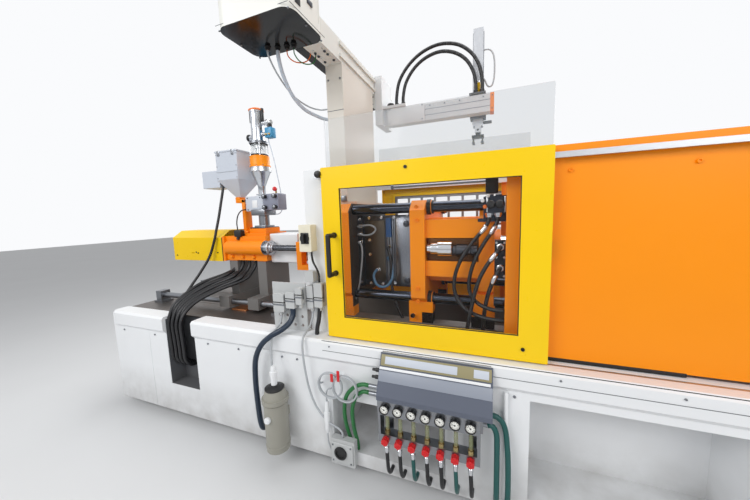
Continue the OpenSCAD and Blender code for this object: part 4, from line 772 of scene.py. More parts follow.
# %% [markdown]
# ## The door and the panels
# The door is folded sheet. A thin black seal holds its pane, dark screws show at two places, and the handle is held
# by socket screws. The seal could be a texture line, but its small step catches the light.

# %% Seal, door screws and closing latch
DOOR_Y = -622
dress(strip_frame("window_seal", (-167, -619.5, 993), (811, -613.5, 1787), 11), "rubber", "door")
screws("door_screws", [(244, DOOR_Y, 1868), (825, DOOR_Y, 934)], FRONT, 9, "black_plastic", "door")
screws("handle_screws", [(-201, -646, 1277), (-201, -646, 1507)], FRONT, 5, "ground_steel", "door", 12)
dress(block("door_stop_plate", (905, -604, 1380), (939, -570, 1470), 3), "ground_steel", "door")
dress(turned("door_buffer", (-294, -566, 1870), FRONT, [(0, 17), (30, 17), (36, 20), (58, 22), (70, 18), (74, 8)]),
    "black_plastic")
print("door pieces: seal, screws, stop plate, buffer")

# %% [markdown]
# The orange panels beside the door are held by a few flush screws along their edges. A white ledge with a dark slot
# runs under them, and a round white strut stands in the service bay.

# %% Panel screws, slot and strut
screws("panel_screws", [(1454, -558, 1795), (2300, -558, 1795), (1010, -558, 1795), (2300, -558, 960)], FRONT, 10,
    "panel_orange")
dress(block("panel_slot", (945, -561, 866), (1478, -556.5, 884), 4, 3), "rubber")
screws("base_screws", [(x, -660, 700) for x in (-500, -620, -1000, -1300, -1900, -2300, 560, 790, 1860, 2200)],
    FRONT, 7, "ground_steel", "bed", 12)
dress(turned("bay_strut", (752, -676, 134), UP, [(0, 11), (4, 13), (12, 13), (16, 11), (586, 11), (590, 9)], 16),
    "sheet_white")
print("panel pieces: screws, slot, strut")

# %% [markdown]
# ## Water manifold
# Each of the seven circuits has a round pressure gauge in a square black body, a clear tube with a metal nut at each
# end, a red valve knob and a nipple below it. The dial gets real ticks and a needle, because a flat white disc looks
# like a sticker from close by.

# %% Gauge faces with ticks and needles
GAUGE_Z, FACE_Y, DIAL_Y = 565, -780.6, -782.6      # the face stands on the floor of the gauge's recess
TICKS, FIRST_TICK, TICK_STEP = 9, 225, 33.75        # degrees, as on a clock with its gap at the bottom


def gauge_face(x, z, turn):
    face = turned("gauge_face", (x, FACE_Y, z), FRONT, [(0, 22.4), (1.6, 22.4), (2, 21.6)], 32)
    dress(face, "dial_white")
    marks = []
    for k in range(TICKS):
        a = math.radians(FIRST_TICK - TICK_STEP * k)
        mark = block("tick", (-0.7, -0.9, 14.5 if k % 2 else 13), (0.7, 0.3, 19.5), 0.2, 1)
        mark.data.transform(Matrix.Rotation(math.pi / 2 - a, 4, (0, 1, 0)))
        marks.append(mark)
    needle = block("needle", (-0.8, -1.6, -5), (0.8, -0.6, 16), 0.3, 1)
    needle.data.transform(Matrix.Rotation(math.radians(turn), 4, (0, 1, 0)))
    hub = turned("hub", (0, -0.4, 0), FRONT, [(0, 3.4), (2.2, 3.4), (2.6, 2.2)], 12)
    dial = joined("gauge_dial", marks + [needle, hub])
    dial.data.transform(Matrix.Translation((x / 1000, DIAL_Y / 1000, z / 1000)))
    dress(dial, "black_plastic")


stock["dial_white"] = plastic("dial_white", (238, 238, 232), 0.3)
for x, turn in zip(circuit_x, (-70, -48, -62, -30, -55, -80, -42)):
    gauge_face(x, GAUGE_Z, turn)
print("gauges with dials:", CIRCUITS)

# %% Nuts of the clear tubes, valve bodies and nipples
circuits = [(x, 0, 0) for x in circuit_x]
lower_nut = turned("lower_tube_nuts", (0, -729, 399), UP, [(0, 16), (13, 16), (15, 12.4), (20, 12.4)], 8)
dress(repeated(lower_nut, circuits), "brass")
upper_nut = turned("upper_tube_nuts", (0, -729, 500), UP, [(0, 12.4), (5, 12.4), (7, 16), (20.5, 16)], 8)
dress(repeated(upper_nut, circuits), "brass")
body = block("gauge_bodies", (-29, -762, 536), (29, -757, 594), 4, 3)
dress(repeated(body, circuits), "black_plastic")
nipple = turned("valve_nipples", (0, -751, 350), DOWN, [(0, 15), (12, 15), (14, 11.5), (22, 11.5), (24, 13.5),
    (40, 13.5), (42, 11.2), (58, 11.2)], 16)
dress(repeated(nipple, circuits), "bright_steel")
cap = turned("knob_caps", (0, -791, 375), FRONT, [(0, 9), (1.5, 9), (2.5, 7.6), (2.5, 5), (1.2, 4.6)], 20)
for i, x in enumerate(circuit_x):
    dress(twin_of(cap, (x, 0, 0), f"knob_cap_{i + 1}"), "red_plastic", f"flow_knob_{i + 1}")
bpy.data.objects.remove(cap)
print("nuts, bodies, nipples and caps:", CIRCUITS, "each")

# %% [markdown]
# The hood over the manifold is one folded sheet that slopes to the front. A white strip crosses it, a light plate in
# an olive frame lies above the strip, and two dark pins stand at its left end.

# %% Strip, framed plates and pins of the hood
HOOD_Y, HOOD_Z, HOOD_DEPTH, HOOD_DROP = -691, 847, 98, 203     # top edge of the slope, and how far it falls


def on_hood(name, x0, x1, z0, z1, thick, look):
    """A plate that lies on the hood's slope, between two heights."""
    lean, run = math.atan2(HOOD_DEPTH, HOOD_DROP), math.hypot(HOOD_DEPTH, HOOD_DROP) / HOOD_DROP
    plate = block(name, (x0, -thick, (z0 - HOOD_Z) * run), (x1, 0.5, (z1 - HOOD_Z) * run), 1.5)
    plate.data.transform(Matrix.Translation((0, HOOD_Y / 1000, HOOD_Z / 1000)) @ Matrix.Rotation(-lean, 4, "X"))
    return dress(plate, look)


on_hood("hood_strip", 102, 680, 768, 780, 5, "sheet_white")
on_hood("hood_frame", 106, 684, 786, 840, 3, "olive_frame")
# Painted light: this lighter plate on the upper part of the slope stands for the light that the hood's upper face
# catches; the sheet below the fold keeps the darker hood grey.
on_hood("hood_upper_face", 101, 689, 712, 764, 2, "hood_light")
for x0, x1 in ((130, 520), (600, 672)):
    on_hood("hood_plate", x0, x1, 795, 831, 5, "pale_sheet")
dress(turned("hood_hinge", (110, -690, 851), RIGHT, [(0, 5), (2, 6), (568, 6), (570, 5)], 12), "ground_steel")
group("hood_pins", [turned("hood_pin", (100, y, z), LEFT, [(0, 9), (2, 11), (24, 11), (26, 8), (44, 8)], 14)
    for y, z in ((-716, 752), (-728, 716))], "black_plastic")
print("hood pieces: strip, frame, plates, hinge, pins")

# %% [markdown]
# ## Behind the window
# The mould is a stack of ground plates held by socket screws, with water fittings on its front. One small grey hose
# loops between two fittings, another drops to the bed, and a blue one joins the two halves.

# %% Screws and plates of the mould
MOULD_Y, CLAMPING_Y = -260, -285          # fronts of the mould halves and of their clamping plates
screws("mould_screws", [(-182, CLAMPING_Y, z) for z in (1150, 1590)] + [(-120, MOULD_Y, z)
    for z in (1346, 1446, 1600, 1140)] + [(-30, MOULD_Y, z) for z in (1600, 1140)], FRONT, 11, "bright_steel")
screws("mould_half_screws", [(60, MOULD_Y, z) for z in (1150, 1598)] + [(150, MOULD_Y, z) for z in (1150, 1598)]
    + [(192, CLAMPING_Y, z) for z in (1145, 1595)], FRONT, 11, "bright_steel", "clamp")
dress(block("mould_backing_plate", (-160, -264, 1160), (-8, -258, 1580), 2), "brown_steel")
dress(block("mould_ejector_box", (72, -274, 1130), (186, -259, 1606), 4), "streaked_steel", "clamp")
group("ejector_box_eyes", [turned("ejector_box_eye", (148, -273, z), FRONT,
    [(0, 21), (4, 21), (6, 16), (12, 16), (13, 9), (5, 8)], 20) for z in (1554, 1172)], "tool_steel", "clamp")
group("mould_strips", [block("mould_strip", (x, -266, 1142), (x + w, -258, 1598), 1.5)
    for x, w in ((10, 9), (26, 14), (46, 8), (60, 6))], "grey_steel", "clamp")
dress(block("blue_bracket", (4, -276, 1466), (42, -262, 1596), 3), "slate_plastic", "clamp")
print("mould pieces: screws, plates, strips, bracket")

# %% Water fittings on the mould
def fittings(name, places, body, scale=1.0, look="bright_steel"):
    """Quick couplings that stand out of the mould's front face."""
    rings = [(0, 13), (5, 13), (6, 9), (14, 9), (16, 11.5), (34, 11.5), (36, 8), (44, 8)]
    coupling = turned(name, (0, 0, 0), FRONT, [(d * scale, r * scale) for d, r in rings], 12)
    return dress(repeated(coupling, places), look, body)


fittings("mould_couplings", [(-176, CLAMPING_Y, 1545), (-176, CLAMPING_Y, 1490), (-176, CLAMPING_Y, 1436),
    (-60, MOULD_Y, 1240)], "bed")
fittings("mould_half_couplings", [(200, CLAMPING_Y, 1500), (200, CLAMPING_Y, 1240), (26, MOULD_Y, 1400),
    (26, MOULD_Y, 1330)], "clamp", 0.9, "brass")
MOULD_ROUTES = [
    [(-176, -312, 1545), (-176, -338, 1545), (-120, -352, 1552), (-70, -360, 1552), (-36, -362, 1528),
     (-60, -360, 1498), (-110, -352, 1486), (-176, -338, 1490), (-176, -312, 1490)],
    [(-176, -312, 1436), (-176, -338, 1436), (-150, -350, 1420), (-138, -362, 1376), (-142, -366, 1310),
     (-152, -366, 1240), (-172, -360, 1140), (-205, -356, 1040), (-222, -352, 960), (-222, -350, 900),
     (-222, -350, 850.3)]]
for i, points in enumerate(MOULD_ROUTES):
    lay(f"mould_hose_{i + 1}", points, 12, "steel_hose", "bed")
lay("mould_blue_hose", [(-60, -287, 1240), (-60, -318, 1240), (-66, -350, 1206), (-34, -364, 1150),
    (26, -362, 1146), (66, -350, 1204), (58, -332, 1290), (32, -318, 1326), (26, -306, 1330), (26, -287, 1330)], 18,
    "blue_hose", "bed", bend=("clamp", (-20, -340, 1200), (40, -340, 1200)))
lay("mould_black_hose", [(26, -287, 1400), (26, -314, 1400), (44, -336, 1380), (56, -344, 1310), (58, -346, 1220),
    (62, -346, 1130), (84, -346, 1040), (118, -346, 960), (140, -346, 900), (142, -346, 860), (142, -346, 740.3)],
    20, "black_hose", "clamp", bend=("bed", (60, -346, 1300), (120, -346, 900)))
print("mould hoses: 4")

# %% [markdown]
# On the moving platen sit its screws and the black wiper collars of the tie bars. The chrome housing of the ejector
# cylinder stands in a recess whose shade is painted on a dark brown plate, and the steel safety rod runs along the
# top to its black block.

# %% Pieces of the moving platen
group("wiper_collars", [turned("wiper_collar", (302, y, z), RIGHT,
    [(0, 40), (3, 47), (24, 47), (28, 41), (40, 41), (41, 36)], 32) for y in (-345, 225) for z in (1657, 1083)],
    "rubber", "clamp")
screws("platen_screws", [(255, -425, z) for z in (1080, 1160, 1580, 1660)], FRONT, 12, "cast_orange", "clamp")
screws("foot_screws", [(220, -422, 985)], FRONT, 14, "tool_steel", "clamp")
# Painted shade: this dark brown plate behind the ribs stands for the shade inside the openings of the orange platen.
dress(block("rib_painted_shade", (312, -384, 1284), (640, -380.6, 1476), 2), "brown_shade", "clamp")
dress(turned("ejector_housing", (462, -386, 1406), LEFT, [(0, 40), (6, 48), (86, 48), (90, 38), (128, 38),
    (131, 28), (150, 28)], 32), "chrome", "clamp")
dress(turned("ejector_port", (604, -386, 1396), LEFT, [(0, 24), (6, 32), (40, 32), (42, 26), (60, 26), (62, 38),
    (120, 38), (124, 32), (140, 32)], 20), "tool_steel", "clamp")
dress(turned("safety_rod", (90, -400, 1786), RIGHT, [(0, 9), (2, 13), (14, 13), (16, 7), (552, 7), (554, 5)], 12),
    "grey_steel", "clamp")
dress(block("rod_block", (640, -420, 1716), (706, -384, 1808), 6), "black_plastic", "clamp")
group("sensor_plugs", [turned("sensor_plug", (x, -478, z), FRONT, [(0, 10), (12, 10), (14, 8), (26, 8)], 12)
    for x, z in ((628, 1676), (654, 1700))], "sheet_white", "clamp")
dress(turned("sensor_cap", (640, -478, 1644), FRONT, [(0, 11), (14, 11), (16, 9), (24, 9)], 12), "orange_plastic",
    "clamp")
print("moving platen pieces: collars, screws, housing, safety rod")

# %% Valve block details
heads = [turned("solenoid", (x, -470, 1655), FRONT, [(0, 19), (4, 22), (34, 22), (38, 18), (44, 18), (46, 12)], 16)
    for x in (668, 712)]
group("solenoids", heads, "black_plastic", "clamp")
group("valve_plates", [block("valve_plate", (x, -474, 1614), (x + 8, -468, 1696), 1.5) for x in (646, 736)],
    "bright_steel", "clamp")
adapters = [turned("adapter", (x, -437, 1611), DOWN, [(0, 21), (14, 21), (16, 17), (24, 17)], 6) for x in (660, 704)]
adapters += [turned("adapter", (720, -449, z), FRONT, [(0, 21), (14, 21), (16, 17), (26, 17)], 6)
    for z in (1425, 1310)]
group("hose_adapters", adapters, "bright_steel", "clamp")
screws("port_block_screws", [(x, -450, z) for x in (700, 740) for z in (1265, 1368, 1448)], FRONT, 7,
    "bright_steel", "clamp", 12)
print("valve block pieces: solenoids, plates, adapters, screws")

# %% [markdown]
# ## Injection unit
# The casting carries plugs and bolt heads, a black connector sits on its shoulder, and the rod of the carriage
# cylinder leaves through a steel flange with four screws. The cover in front of it is folded yellow sheet.

# %% Flanges, plugs and the connector of the casting
group("rod_flanges", [turned("rod_flange", (-1024, y, 1378), RIGHT,
    [(0, 58), (3, 62), (16, 62), (18, 54), (18.5, 44), (30, 43), (32, 36), (44, 36), (45, 30)], 32)
    for y in (-230, 110)], "aluminium", "carriage")
screws("flange_screws", [(-1008, -230 + 52 * math.cos(a), 1378 + 52 * math.sin(a)) for a in (0.8, 2.36, 3.93, 5.5)],
    RIGHT, 6, "tool_steel", "carriage", 12)
nuts("casting_bolts", [(x, -237, 1296) for x in (-1445, -1325, -1205)], FRONT, 11, "platen_paint", "carriage")
screws("casting_screws", [(-1495, -226, 1336), (-1312, -226, 1336), (-1130, -226, 1336)], FRONT, 9, "tool_steel",
    "carriage", 12)
screws("cover_screws", [(-1864, -245, 1332), (-1840, -245, 1324), (-1595, -245, 1332), (-2120, -245, 1300),
    (-1620, -245, 1440)], FRONT, 6, "tool_steel", "carriage", 12)
dress(block("cover_edge", (-1542, -247.5, 1256), (-1534, -243, 1466), 1.5), "rubber", "carriage")
dress(block("connector_body", (-1392, -246, 1470), (-1318, -190, 1528), 9, 3), "black_plastic", "carriage")
dress(turned("connector_gland", (-1360, -222, 1470), (-0.35, -0.2, -1),
    [(0, 20), (8, 20), (10, 15), (26, 15), (28, 10)], 16), "black_plastic", "carriage")
dress(turned("casting_eye", (-1475, -120, 1493), UP, [(0, 26), (6, 26), (8, 20), (26, 20), (28, 14)], 24),
    "black_plastic", "carriage")
print("casting pieces: flanges, bolts, connector")

# %% [markdown]
# ## Feed
# Above the casting stands the feed: a throat with a slide gate and a valve block, the steel hopper under its orange
# ring, a glass cylinder, and the chromed loader. Beside it a sheet box takes the dust. The photograph shows all of
# them more slender than the solids. The photograph shows all of them more slender than the solids, so turned and
# folded pieces stand for these, and the solids stay, hidden.

# %% Pick vertices by place, and draw a block's underside in
def pick(piece, test):
    """Edit mode with only those vertices selected for which the test holds."""
    bpy.ops.object.mode_set(mode="EDIT")
    bpy.ops.mesh.select_mode(type="VERT")
    bpy.ops.mesh.select_all(action="DESELECT")
    bpy.ops.object.mode_set(mode="OBJECT")
    for vertex in piece.data.vertices:
        vertex.select = test(vertex.co)
    bpy.ops.object.mode_set(mode="EDIT")


def funnel(name, low, high, mouth):
    """A block whose underside is drawn in to a narrow mouth."""
    piece = block(name, low, high, 1, 1)
    middle = [(low[0] + high[0]) / 2000, (low[1] + high[1]) / 2000, low[2] / 1000]
    pick(piece, lambda p: p.z < low[2] / 1000 + 0.004)
    bpy.ops.transform.resize(value=(mouth / (high[0] - low[0]), mouth / (high[1] - low[1]), 1),
        center_override=middle)
    bpy.ops.object.mode_set(mode="OBJECT")
    return piece


HOPPER = (-1215, -60)                    # x and y of its axis
KNOB_PLACES = [(x, z) for x in (-1128, -1022) for z in (1713, 1805)]


def on_axis(name, z, rings, look, sides=48):
    """A turned piece on the hopper's axis."""
    return dress(turned(name, (*HOPPER, z), UP, rings, sides), look, "carriage")


print("tools: pick, funnel, on_axis")

# %% Throat, slide gate and valve block
throat = joined("feed_throat", [block("throat_foot", (-1275, -120, 1539.8), (-1155, 0, 1560), 3),
    turned("throat_neck", (*HOPPER, 1558), UP, [(0, 45), (94, 45)], 32),
    block("throat_block", (-1290, -135, 1648), (-1140, 15, 1700), 6)])
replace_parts(dress(throat, "ground_steel", "carriage"), "feed_hopper")
gate = block("gate_housing", (-1357, -122, 1685), (-1160, 2, 1815), 10, 3)
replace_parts(dress(gate, "pale_sheet", "carriage"), "feed_hopper")
dress(block("gate_window", (-1278, -124.5, 1715), (-1223, -120, 1780), 5), "sheet_white", "carriage")
valves = block("gate_valves", (-1160, -126, 1690), (-994, -16, 1828), 8, 3)
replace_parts(dress(valves, "valve_grey", "carriage"), "feed_hopper")
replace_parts(group("gate_knobs", [turned("gate_knob", (x, -124, z), FRONT,
    [(0, 15), (3, 17), (22, 17), (24, 19), (31, 19), (32, 15)], 24) for x, z in KNOB_PLACES], "black_plastic",
    "carriage"), "feed_hopper")
print("throat, gate and valve block")

# %% Hopper, ring, glass and loader
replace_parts(on_axis("hopper_neck", 1813, [(0, 31), (10, 31), (11, 50), (20, 50), (21, 31), (46, 31)],
    "polished_steel"), "feed_hopper")
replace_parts(on_axis("hopper_cone", 1853, [(0, 31), (46, 31), (50, 33), (168, 82), (170, 85), (212, 85)],
    "polished_steel", 64), "feed_hopper")
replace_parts(on_axis("hopper_ring", 2061, [(0, 83), (2, 87), (14, 87), (16, 83), (18, 82), (90, 82), (94, 79),
    (99, 66)], "panel_orange", 64), "feed_hopper")
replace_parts(on_axis("glass_cylinder", 2160, [(0, 65), (102, 65)], "sight_pane"), "sight_glass")
on_axis("glass_inner_pipe", 2160, [(0, 24), (60, 24), (62, 38), (100, 38)], "bright_steel", 32)
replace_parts(on_axis("loader_base", 2259, [(0, 71), (1, 74), (13, 74), (14, 71)], "bright_steel", 64), "feed_hopper")
loader = turned("loader_drum", (*HOPPER, 2272), UP, [(0, 53), (243, 53), (244, 58), (246, 60), (258, 60),
    (259, 58)], 64)
stub = turned("loader_inlet", (-1264, -60, 2319), LEFT, [(0, 24), (61, 24)], 32)
outlet = turned("loader_outlet", (-1166, -60, 2335), RIGHT, [(0, 18), (52, 18)], 24)
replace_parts(group("loader", [loader, stub, outlet], "polished_steel", "carriage"), "feed_hopper")
print("hopper, ring, glass and loader")

# %% Dust box on its arm
lid = block("box_lid", (-1591, -196, 2198), (-1339, 76, 2212), 3)
side = block("box_side", (-1790, -170, 1906), (-1584, 10, 2056), 4)
body = block("box_body", (-1585, -190, 1964), (-1345, 70, 2200), 4)
mouth = funnel("box_funnel", (-1584, -189, 1816), (-1346, 69, 1966), 52)
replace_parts(group("dust_box", [body, lid, side, mouth], "pale_sheet", "carriage", 20), "material_box")
arm = [block("arm_top", (-1490, -100, 1766), (-1388, -20, 1798), 4),
    block("arm_seat", (-1490, -100, 1794), (-1440, -20, 1818), 3),
    block("arm_post", (-1422, -100, 1500), (-1388, -20, 1796), 4),
    block("arm_foot", (-1415, -130, 1497.8), (-1345, 10, 1516), 4)]
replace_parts(group("box_arm", arm, "cast_orange", "carriage"), "material_box")
print("dust box and its arm")

# %% Knob caps, drain, bands and stays
group("gate_knob_caps", [turned("gate_knob_cap", (x, -155.5, z), FRONT,
    [(0, 12), (1, 13.5), (3, 13.5), (4, 11), (4.6, 5)], 20) for x, z in KNOB_PLACES], "ground_steel", "carriage")
screws("gate_screws", [(x, -121.5, z) for x in (-1330, -1190) for z in (1700, 1800)], FRONT, 5, "tool_steel",
    "carriage", 12)
dress(turned("drain_stem", (-1052, -76, 1819), UP, [(0, 13), (8, 13), (10, 8), (42, 8), (44, 12), (54, 12)], 12),
    "brass", "carriage")
dress(turned("drain_knob", (-1050, -84, 1864), (0.4, -1, 0.1), [(0, 7), (8, 7), (10, 17), (26, 19), (32, 16),
    (34, 9)], 20), "red_plastic", "carriage")
on_axis("loader_band", 2256, [(0, 74), (2, 79), (9, 79), (11, 76), (13, 76), (15, 79), (22, 79), (24, 74)],
    "ground_steel")
on_axis("loader_lid", 2527, [(0, 58), (2, 63), (13, 63), (16, 57), (24, 42), (30, 26), (33, 10)], "orange_plastic")
group("glass_rings", [turned("glass_ring", (*HOPPER, z), UP, [(0, 66), (1, 70), (7, 70), (8, 66)], 48)
    for z in (2163, 2251)], "rubber", "carriage")
for i in range(4):
    a = math.pi * (0.25 + 0.5 * i)
    stay = turned(f"glass_stay_{i + 1}", (HOPPER[0] + 73 * math.cos(a), HOPPER[1] + 73 * math.sin(a), 2158), UP,
        [(0, 5), (6, 5), (7, 3), (92, 3), (93, 5), (100, 5)], 10)
    dress(stay, "bright_steel", "carriage")
on_axis("hopper_clamp", 2022, [(0, 85), (2, 91), (26, 91), (28, 85)], "bright_steel")
ring_screws = [(HOPPER[0] + 84.5 * math.sin(a), HOPPER[1] - 84.5 * math.cos(a), 2074)
    for a in (-1.0, -0.35, 0.35, 1.0)]
screws("ring_screws", ring_screws, UP, 5, "tool_steel", "carriage", 12)
print("feed pieces: knob caps, drain, bands, lid, glass rings and stays")

# %% Air valve, loader latches and lid of the box
dress(block("air_valve", (-1116, -92, 2296), (-1046, -30, 2378), 6, 3), "valve_blue", "carriage")
dress(turned("air_valve_coil", (-1082, -62, 2377), UP, [(0, 15), (3, 20), (34, 20), (37, 13), (60, 13), (62, 8)],
    20), "black_plastic", "carriage")
group("air_ports", [turned("air_port", (x, -91, 2320), FRONT, [(0, 9), (8, 9), (9, 6), (16, 6)], 12)
    for x in (-1098, -1066)], "brass", "carriage")
latches = []
for side in (-1, 1):
    x = HOPPER[0] + side * 60
    latches.append(block("latch", (x - 9, -74, 2440), (x + 9, -46, 2534), 4))
    latches.append(block("latch_hook", (x - 13, -70, 2520), (x + 13, -50, 2548), 4))
group("loader_latches", latches, "black_plastic", "carriage")
dress(turned("loader_fitting", (-1158, -60, 2424), RIGHT, [(0, 18), (40, 18), (42, 26), (76, 26), (80, 20),
    (92, 20)], 24), "chrome", "carriage")
dress(block("casting_flange", (-1300, -150, 1532), (-1130, 30, 1546), 4), "tool_steel", "carriage")
dress(turned("suction_collar", (-1300, -60, 2319), LEFT, [(0, 26), (2, 31), (16, 31), (18, 26)], 32), "rubber",
    "carriage")
dress(block("box_seam", (-1587, -194, 2030), (-1343, -189, 2034), 0.8, 1), "box_grey", "carriage")
group("box_hasps", [block("hasp", (x, -197, 2168), (x + 24, -189, 2214), 3) for x in (-1560, -1400)],
    "ground_steel", "carriage")
rivets = [(x, -190, z) for x in (-1575, -1355) for z in (1980, 2080, 2180)]
screws("box_rivets", rivets, FRONT, 4, "ground_steel", "carriage", 10)
print("loader and box pieces: valve, ports, latches, seam, hasps")

# %% [markdown]
# A black hose leaves the bottom of the dust box, hangs down past the cover and dives into the notch with the
# hydraulic hoses. Thin lines feed the gate and the air valve. All of them hang with some slack.

# %% Cords of the injection unit and its feed
lay("dust_hose", [(-1565, -150, 1965.7), (-1565, -156, 1900), (-1571, -188, 1767), (-1577, -220, 1640),
    (-1585, -250, 1530), (-1602, -268, 1435), (-1656, -286, 1297), (-1706, -345, 1172), (-1742, -420, 1062),
    (-1752, -500, 965), (-1748, -588, 860), (-1742, -634, 751), (-1742, -640, 640), (-1742, -626, 560),
    (-1742, -580, 504), (-1742, -530.3, 486)], 22, "black_hose", "carriage",
    bend=("bed", (-1656, -286, 1297), (-1748, -588, 860)))
lay("feed_cable", [(-1475, -120, 1498), (-1475, -120, 1545), (-1468, -128, 1590), (-1440, -138, 1650),
    (-1402, -138, 1690), (-1372, -126, 1702), (-1345.3, -104, 1700)], 10, "black_hose", "carriage")
lay("valve_air_line", [(-1104, -62, 2295.7), (-1101, -63, 2262), (-1076, -66, 2190), (-1050, -68, 2080),
    (-1034, -66, 1980), (-1022, -60, 1880), (-1016, -52, 1780), (-1022, -46, 1704), (-1046, -46, 1664),
    (-1082, -50, 1654), (-1108, -54, 1668), (-1114, -56, 1692.7)], 8, "pale_conduit", "carriage")
print("cords of the injection unit: 3")

# %% [markdown]
# ## Robot
# The robot's cabinet hangs over the operator. Its underside is a glossy sheet, its side has a black ventilation
# strip, and the cables leave it through glands. The beam is bolted from below, beside a dark cable tray.

# %% Cabinet and beam
dress(block("cabinet_vent", (-264.5, -800, 2700), (-259, -756, 3010), 2), "black_plastic")
group("cabinet_latches", [block("latch", (-264.5, y, z), (-257, y + 50, z + 26), 3)
    for y, z in ((-690, 2760), (-690, 2960))], "tool_steel")
seams = [block("seam", (-264, -848, z), (-261.5, -516, z + 3), 0.6, 1) for z in (2672, 3062)]
seams += [block("seam", (-749, -854.9, z), (-269, -853, z + 3), 0.6, 1) for z in (2672, 3062)]
group("cabinet_seams", seams, "dark_grey_plastic")
screws("cabinet_screws", [(x, y, 2657) for x in (-738, -280) for y in (-838, -682, -526)], DOWN, 6, "ground_steel",
    "bed", 12)
group("cabinet_glands", [turned("cabinet_gland", (x, y, 2658), DOWN,
    [(0, 19), (6, 19), (8, 15), (20, 15), (23, 11)], 12) for x, y in ((-560, -570), (-610, -600), (-500, -560),
    (-450, -560))], "black_plastic")
screws("beam_screws", [(x, y, 2658) for x in (-388, -321) for y in (-420, -380, -300, 400, 560, 720, 800)], DOWN, 9,
    "tool_steel", "bed", 12)
screws("column_screws", [(x, -244, z) for x in (-400, -309) for z in (2560, 1960)], FRONT, 7, "ground_steel", "bed",
    12)
dress(block("column_seam", (-419.5, -246.5, 2352), (-289.5, -244, 2356), 0.6, 1), "dark_grey_plastic")
group("column_foot_plates", [block("column_foot_plate", (x, -256, 1722), (x + 40, -240, 1762), 3)
    for x in (-412, -338)], "ground_steel")
print("cabinet and beam pieces: vent, latches, seams, glands, screws")

# %% Wires under the cabinet
lay("cabinet_wire_1", [(-500, -560, 2635), (-500, -560, 2608), (-494, -530, 2590), (-470, -490, 2586),
    (-440, -450, 2604), (-424, -430, 2634), (-420, -426, 2656.7)], 7, "orange_wire", "bed")
lay("cabinet_wire_2", [(-450, -560, 2635), (-450, -560, 2604), (-446, -520, 2580), (-430, -470, 2578),
    (-410, -420, 2600), (-402, -400, 2632), (-400, -396, 2656.7)], 7, "green_hose", "bed")
print("wires under the cabinet: 2")

# %% [markdown]
# On the kick arm sits a white housing and a row of screws, and both conduits end in black connectors. The carriage of
# the vertical arm has a small yellow valve block, and a grey conduit loops beside the arm.

# %% Kick arm
dress(block("kick_cover", (-189, 404, 2392), (136, 424, 2536), 6), "sheet_white", "kick_arm")
dress(turned("kick_motor", (-186, 500, 2534), UP, [(0, 30), (4, 34), (60, 34), (64, 28), (70, 28), (74, 20)], 24),
    "black_plastic", "kick_arm")
for name, places, y, z, body in (("kick_connectors", (-120, -60), 470, 2554, "kick_arm"),
        ("arm_connectors", (540, 590), 480, 2556, "arm_carriage")):
    ends = [turned("conduit_connector", (x, y, z), UP, [(0, 22), (10, 22), (12, 18), (34, 18), (37, 15.2)], 12)
        for x in places]
    group(name, ends, "black_plastic", body)
screws("kick_screws", [(x, 430, 2516) for x in (180, 300, 420, 600)] + [(x, 404, z) for x in (-170, 118)
    for z in (2410, 2522)], FRONT, 6, "ground_steel", "kick_arm", 12)
screws("kick_cap_screws", [(666, 430, z) for z in (2420, 2516)], FRONT, 5, "tool_steel", "kick_arm", 12)
group("kick_grooves", [block("kick_groove", (136, 428.5, z), (651, 430.5, z + 5), 0.6, 1) for z in (2440, 2488)],
    "ground_steel", "kick_arm")
print("kick arm pieces: cover, motor, connectors, screws, grooves")

# %% Carriage and vertical arm
dress(block("arm_valve", (528, 520, 2574), (572, 548, 2666), 5), "yellow_paint", "arm_carriage")
group("arm_valve_tips", [turned("arm_valve_tip", (536 + 14 * i, 534, 2665), UP,
    [(0, 5), (10, 5), (11, 3.6), (18, 3.6)], 8) for i in range(3)], "bright_steel", "arm_carriage")
group("arm_rails", [block("arm_rail", (x, 572, 2352), (x + 5, 600, 3070), 1, 1) for x in (512.5, 594.5)],
    "ground_steel", "vertical_arm")
dress(block("arm_cap", (518, 549, 3084), (594, 625, 3089.6), 2), "black_plastic", "vertical_arm")
lay("arm_loop", [(597.3, 560, 2918), (620, 560, 2920), (652, 560, 2906), (672, 560, 2864), (680, 560, 2800),
    (678, 560, 2700), (664, 560, 2640), (640, 560, 2630), (622, 560, 2650), (606, 560, 2690), (597.3, 560, 2700)],
    13, "grey_cable", "vertical_arm")
dress(block("gripper_bracket", (598, 560, 2352), (664, 612, 2366), 3), "dark_grey_plastic", "vertical_arm")
print("arm pieces: valve, rails, cap, loop, bracket")

# %% [markdown]
# ## Front of the base
# Plugs hang from the shelf on grey cables. Each plug housing is locked by a steel lever and ends in a gland. Lower
# down stand a water filter with its valve and a socket box, and a hank of spare cable hangs on two red hooks.

# %% Levers and glands of the plug housings
HOUSINGS = [(-680, -596, 1000, 1122, -640), (-580, -510, 1030, 1134, -640), (-500, -454, 1060, 1170, -640),
            (-440, -394, 1030, 1180, -600), (-385, -325, 1040, 1200, -600)]
levers, bands, heads = [], [], []
for x0, x1, z0, z1, y in HOUSINGS:
    for x in (x0 - 3, x1 - 1):
        levers.append(block("lever", (x, y + 12, z0 + 34), (x + 4, y + 26, z1 - 12), 1.2))
    levers.append(block("lever", (x0 - 3, y - 3, z0 + 44), (x1 + 3, y + 3, z0 + 54), 1.2))
    bands.append(block("band", (x0 - 2, y - 2, z0 + 62), (x1 + 2, y + 30, z0 + 68), 1.2))
    heads.append(turned("plug_gland", ((x0 + x1) / 2, y + 26, z0 + 2), DOWN,
        [(0, 17), (8, 17), (10, 13), (26, 13), (30, 9)], 12))
group("plug_levers", levers, "ground_steel")
group("plug_bands", bands, "black_plastic")
group("plug_glands", heads, "grey_plastic")
dress(block("plug_bracket_plate", (-714, -588, 1128), (-458, -584, 1142), 1.5), "sheet_white")
dress(block("isolator_plate", (-448, -616, 1452), (-390, -611.5, 1522), 5), "black_plastic")
print("plug pieces: levers, bands, glands, isolator plate")

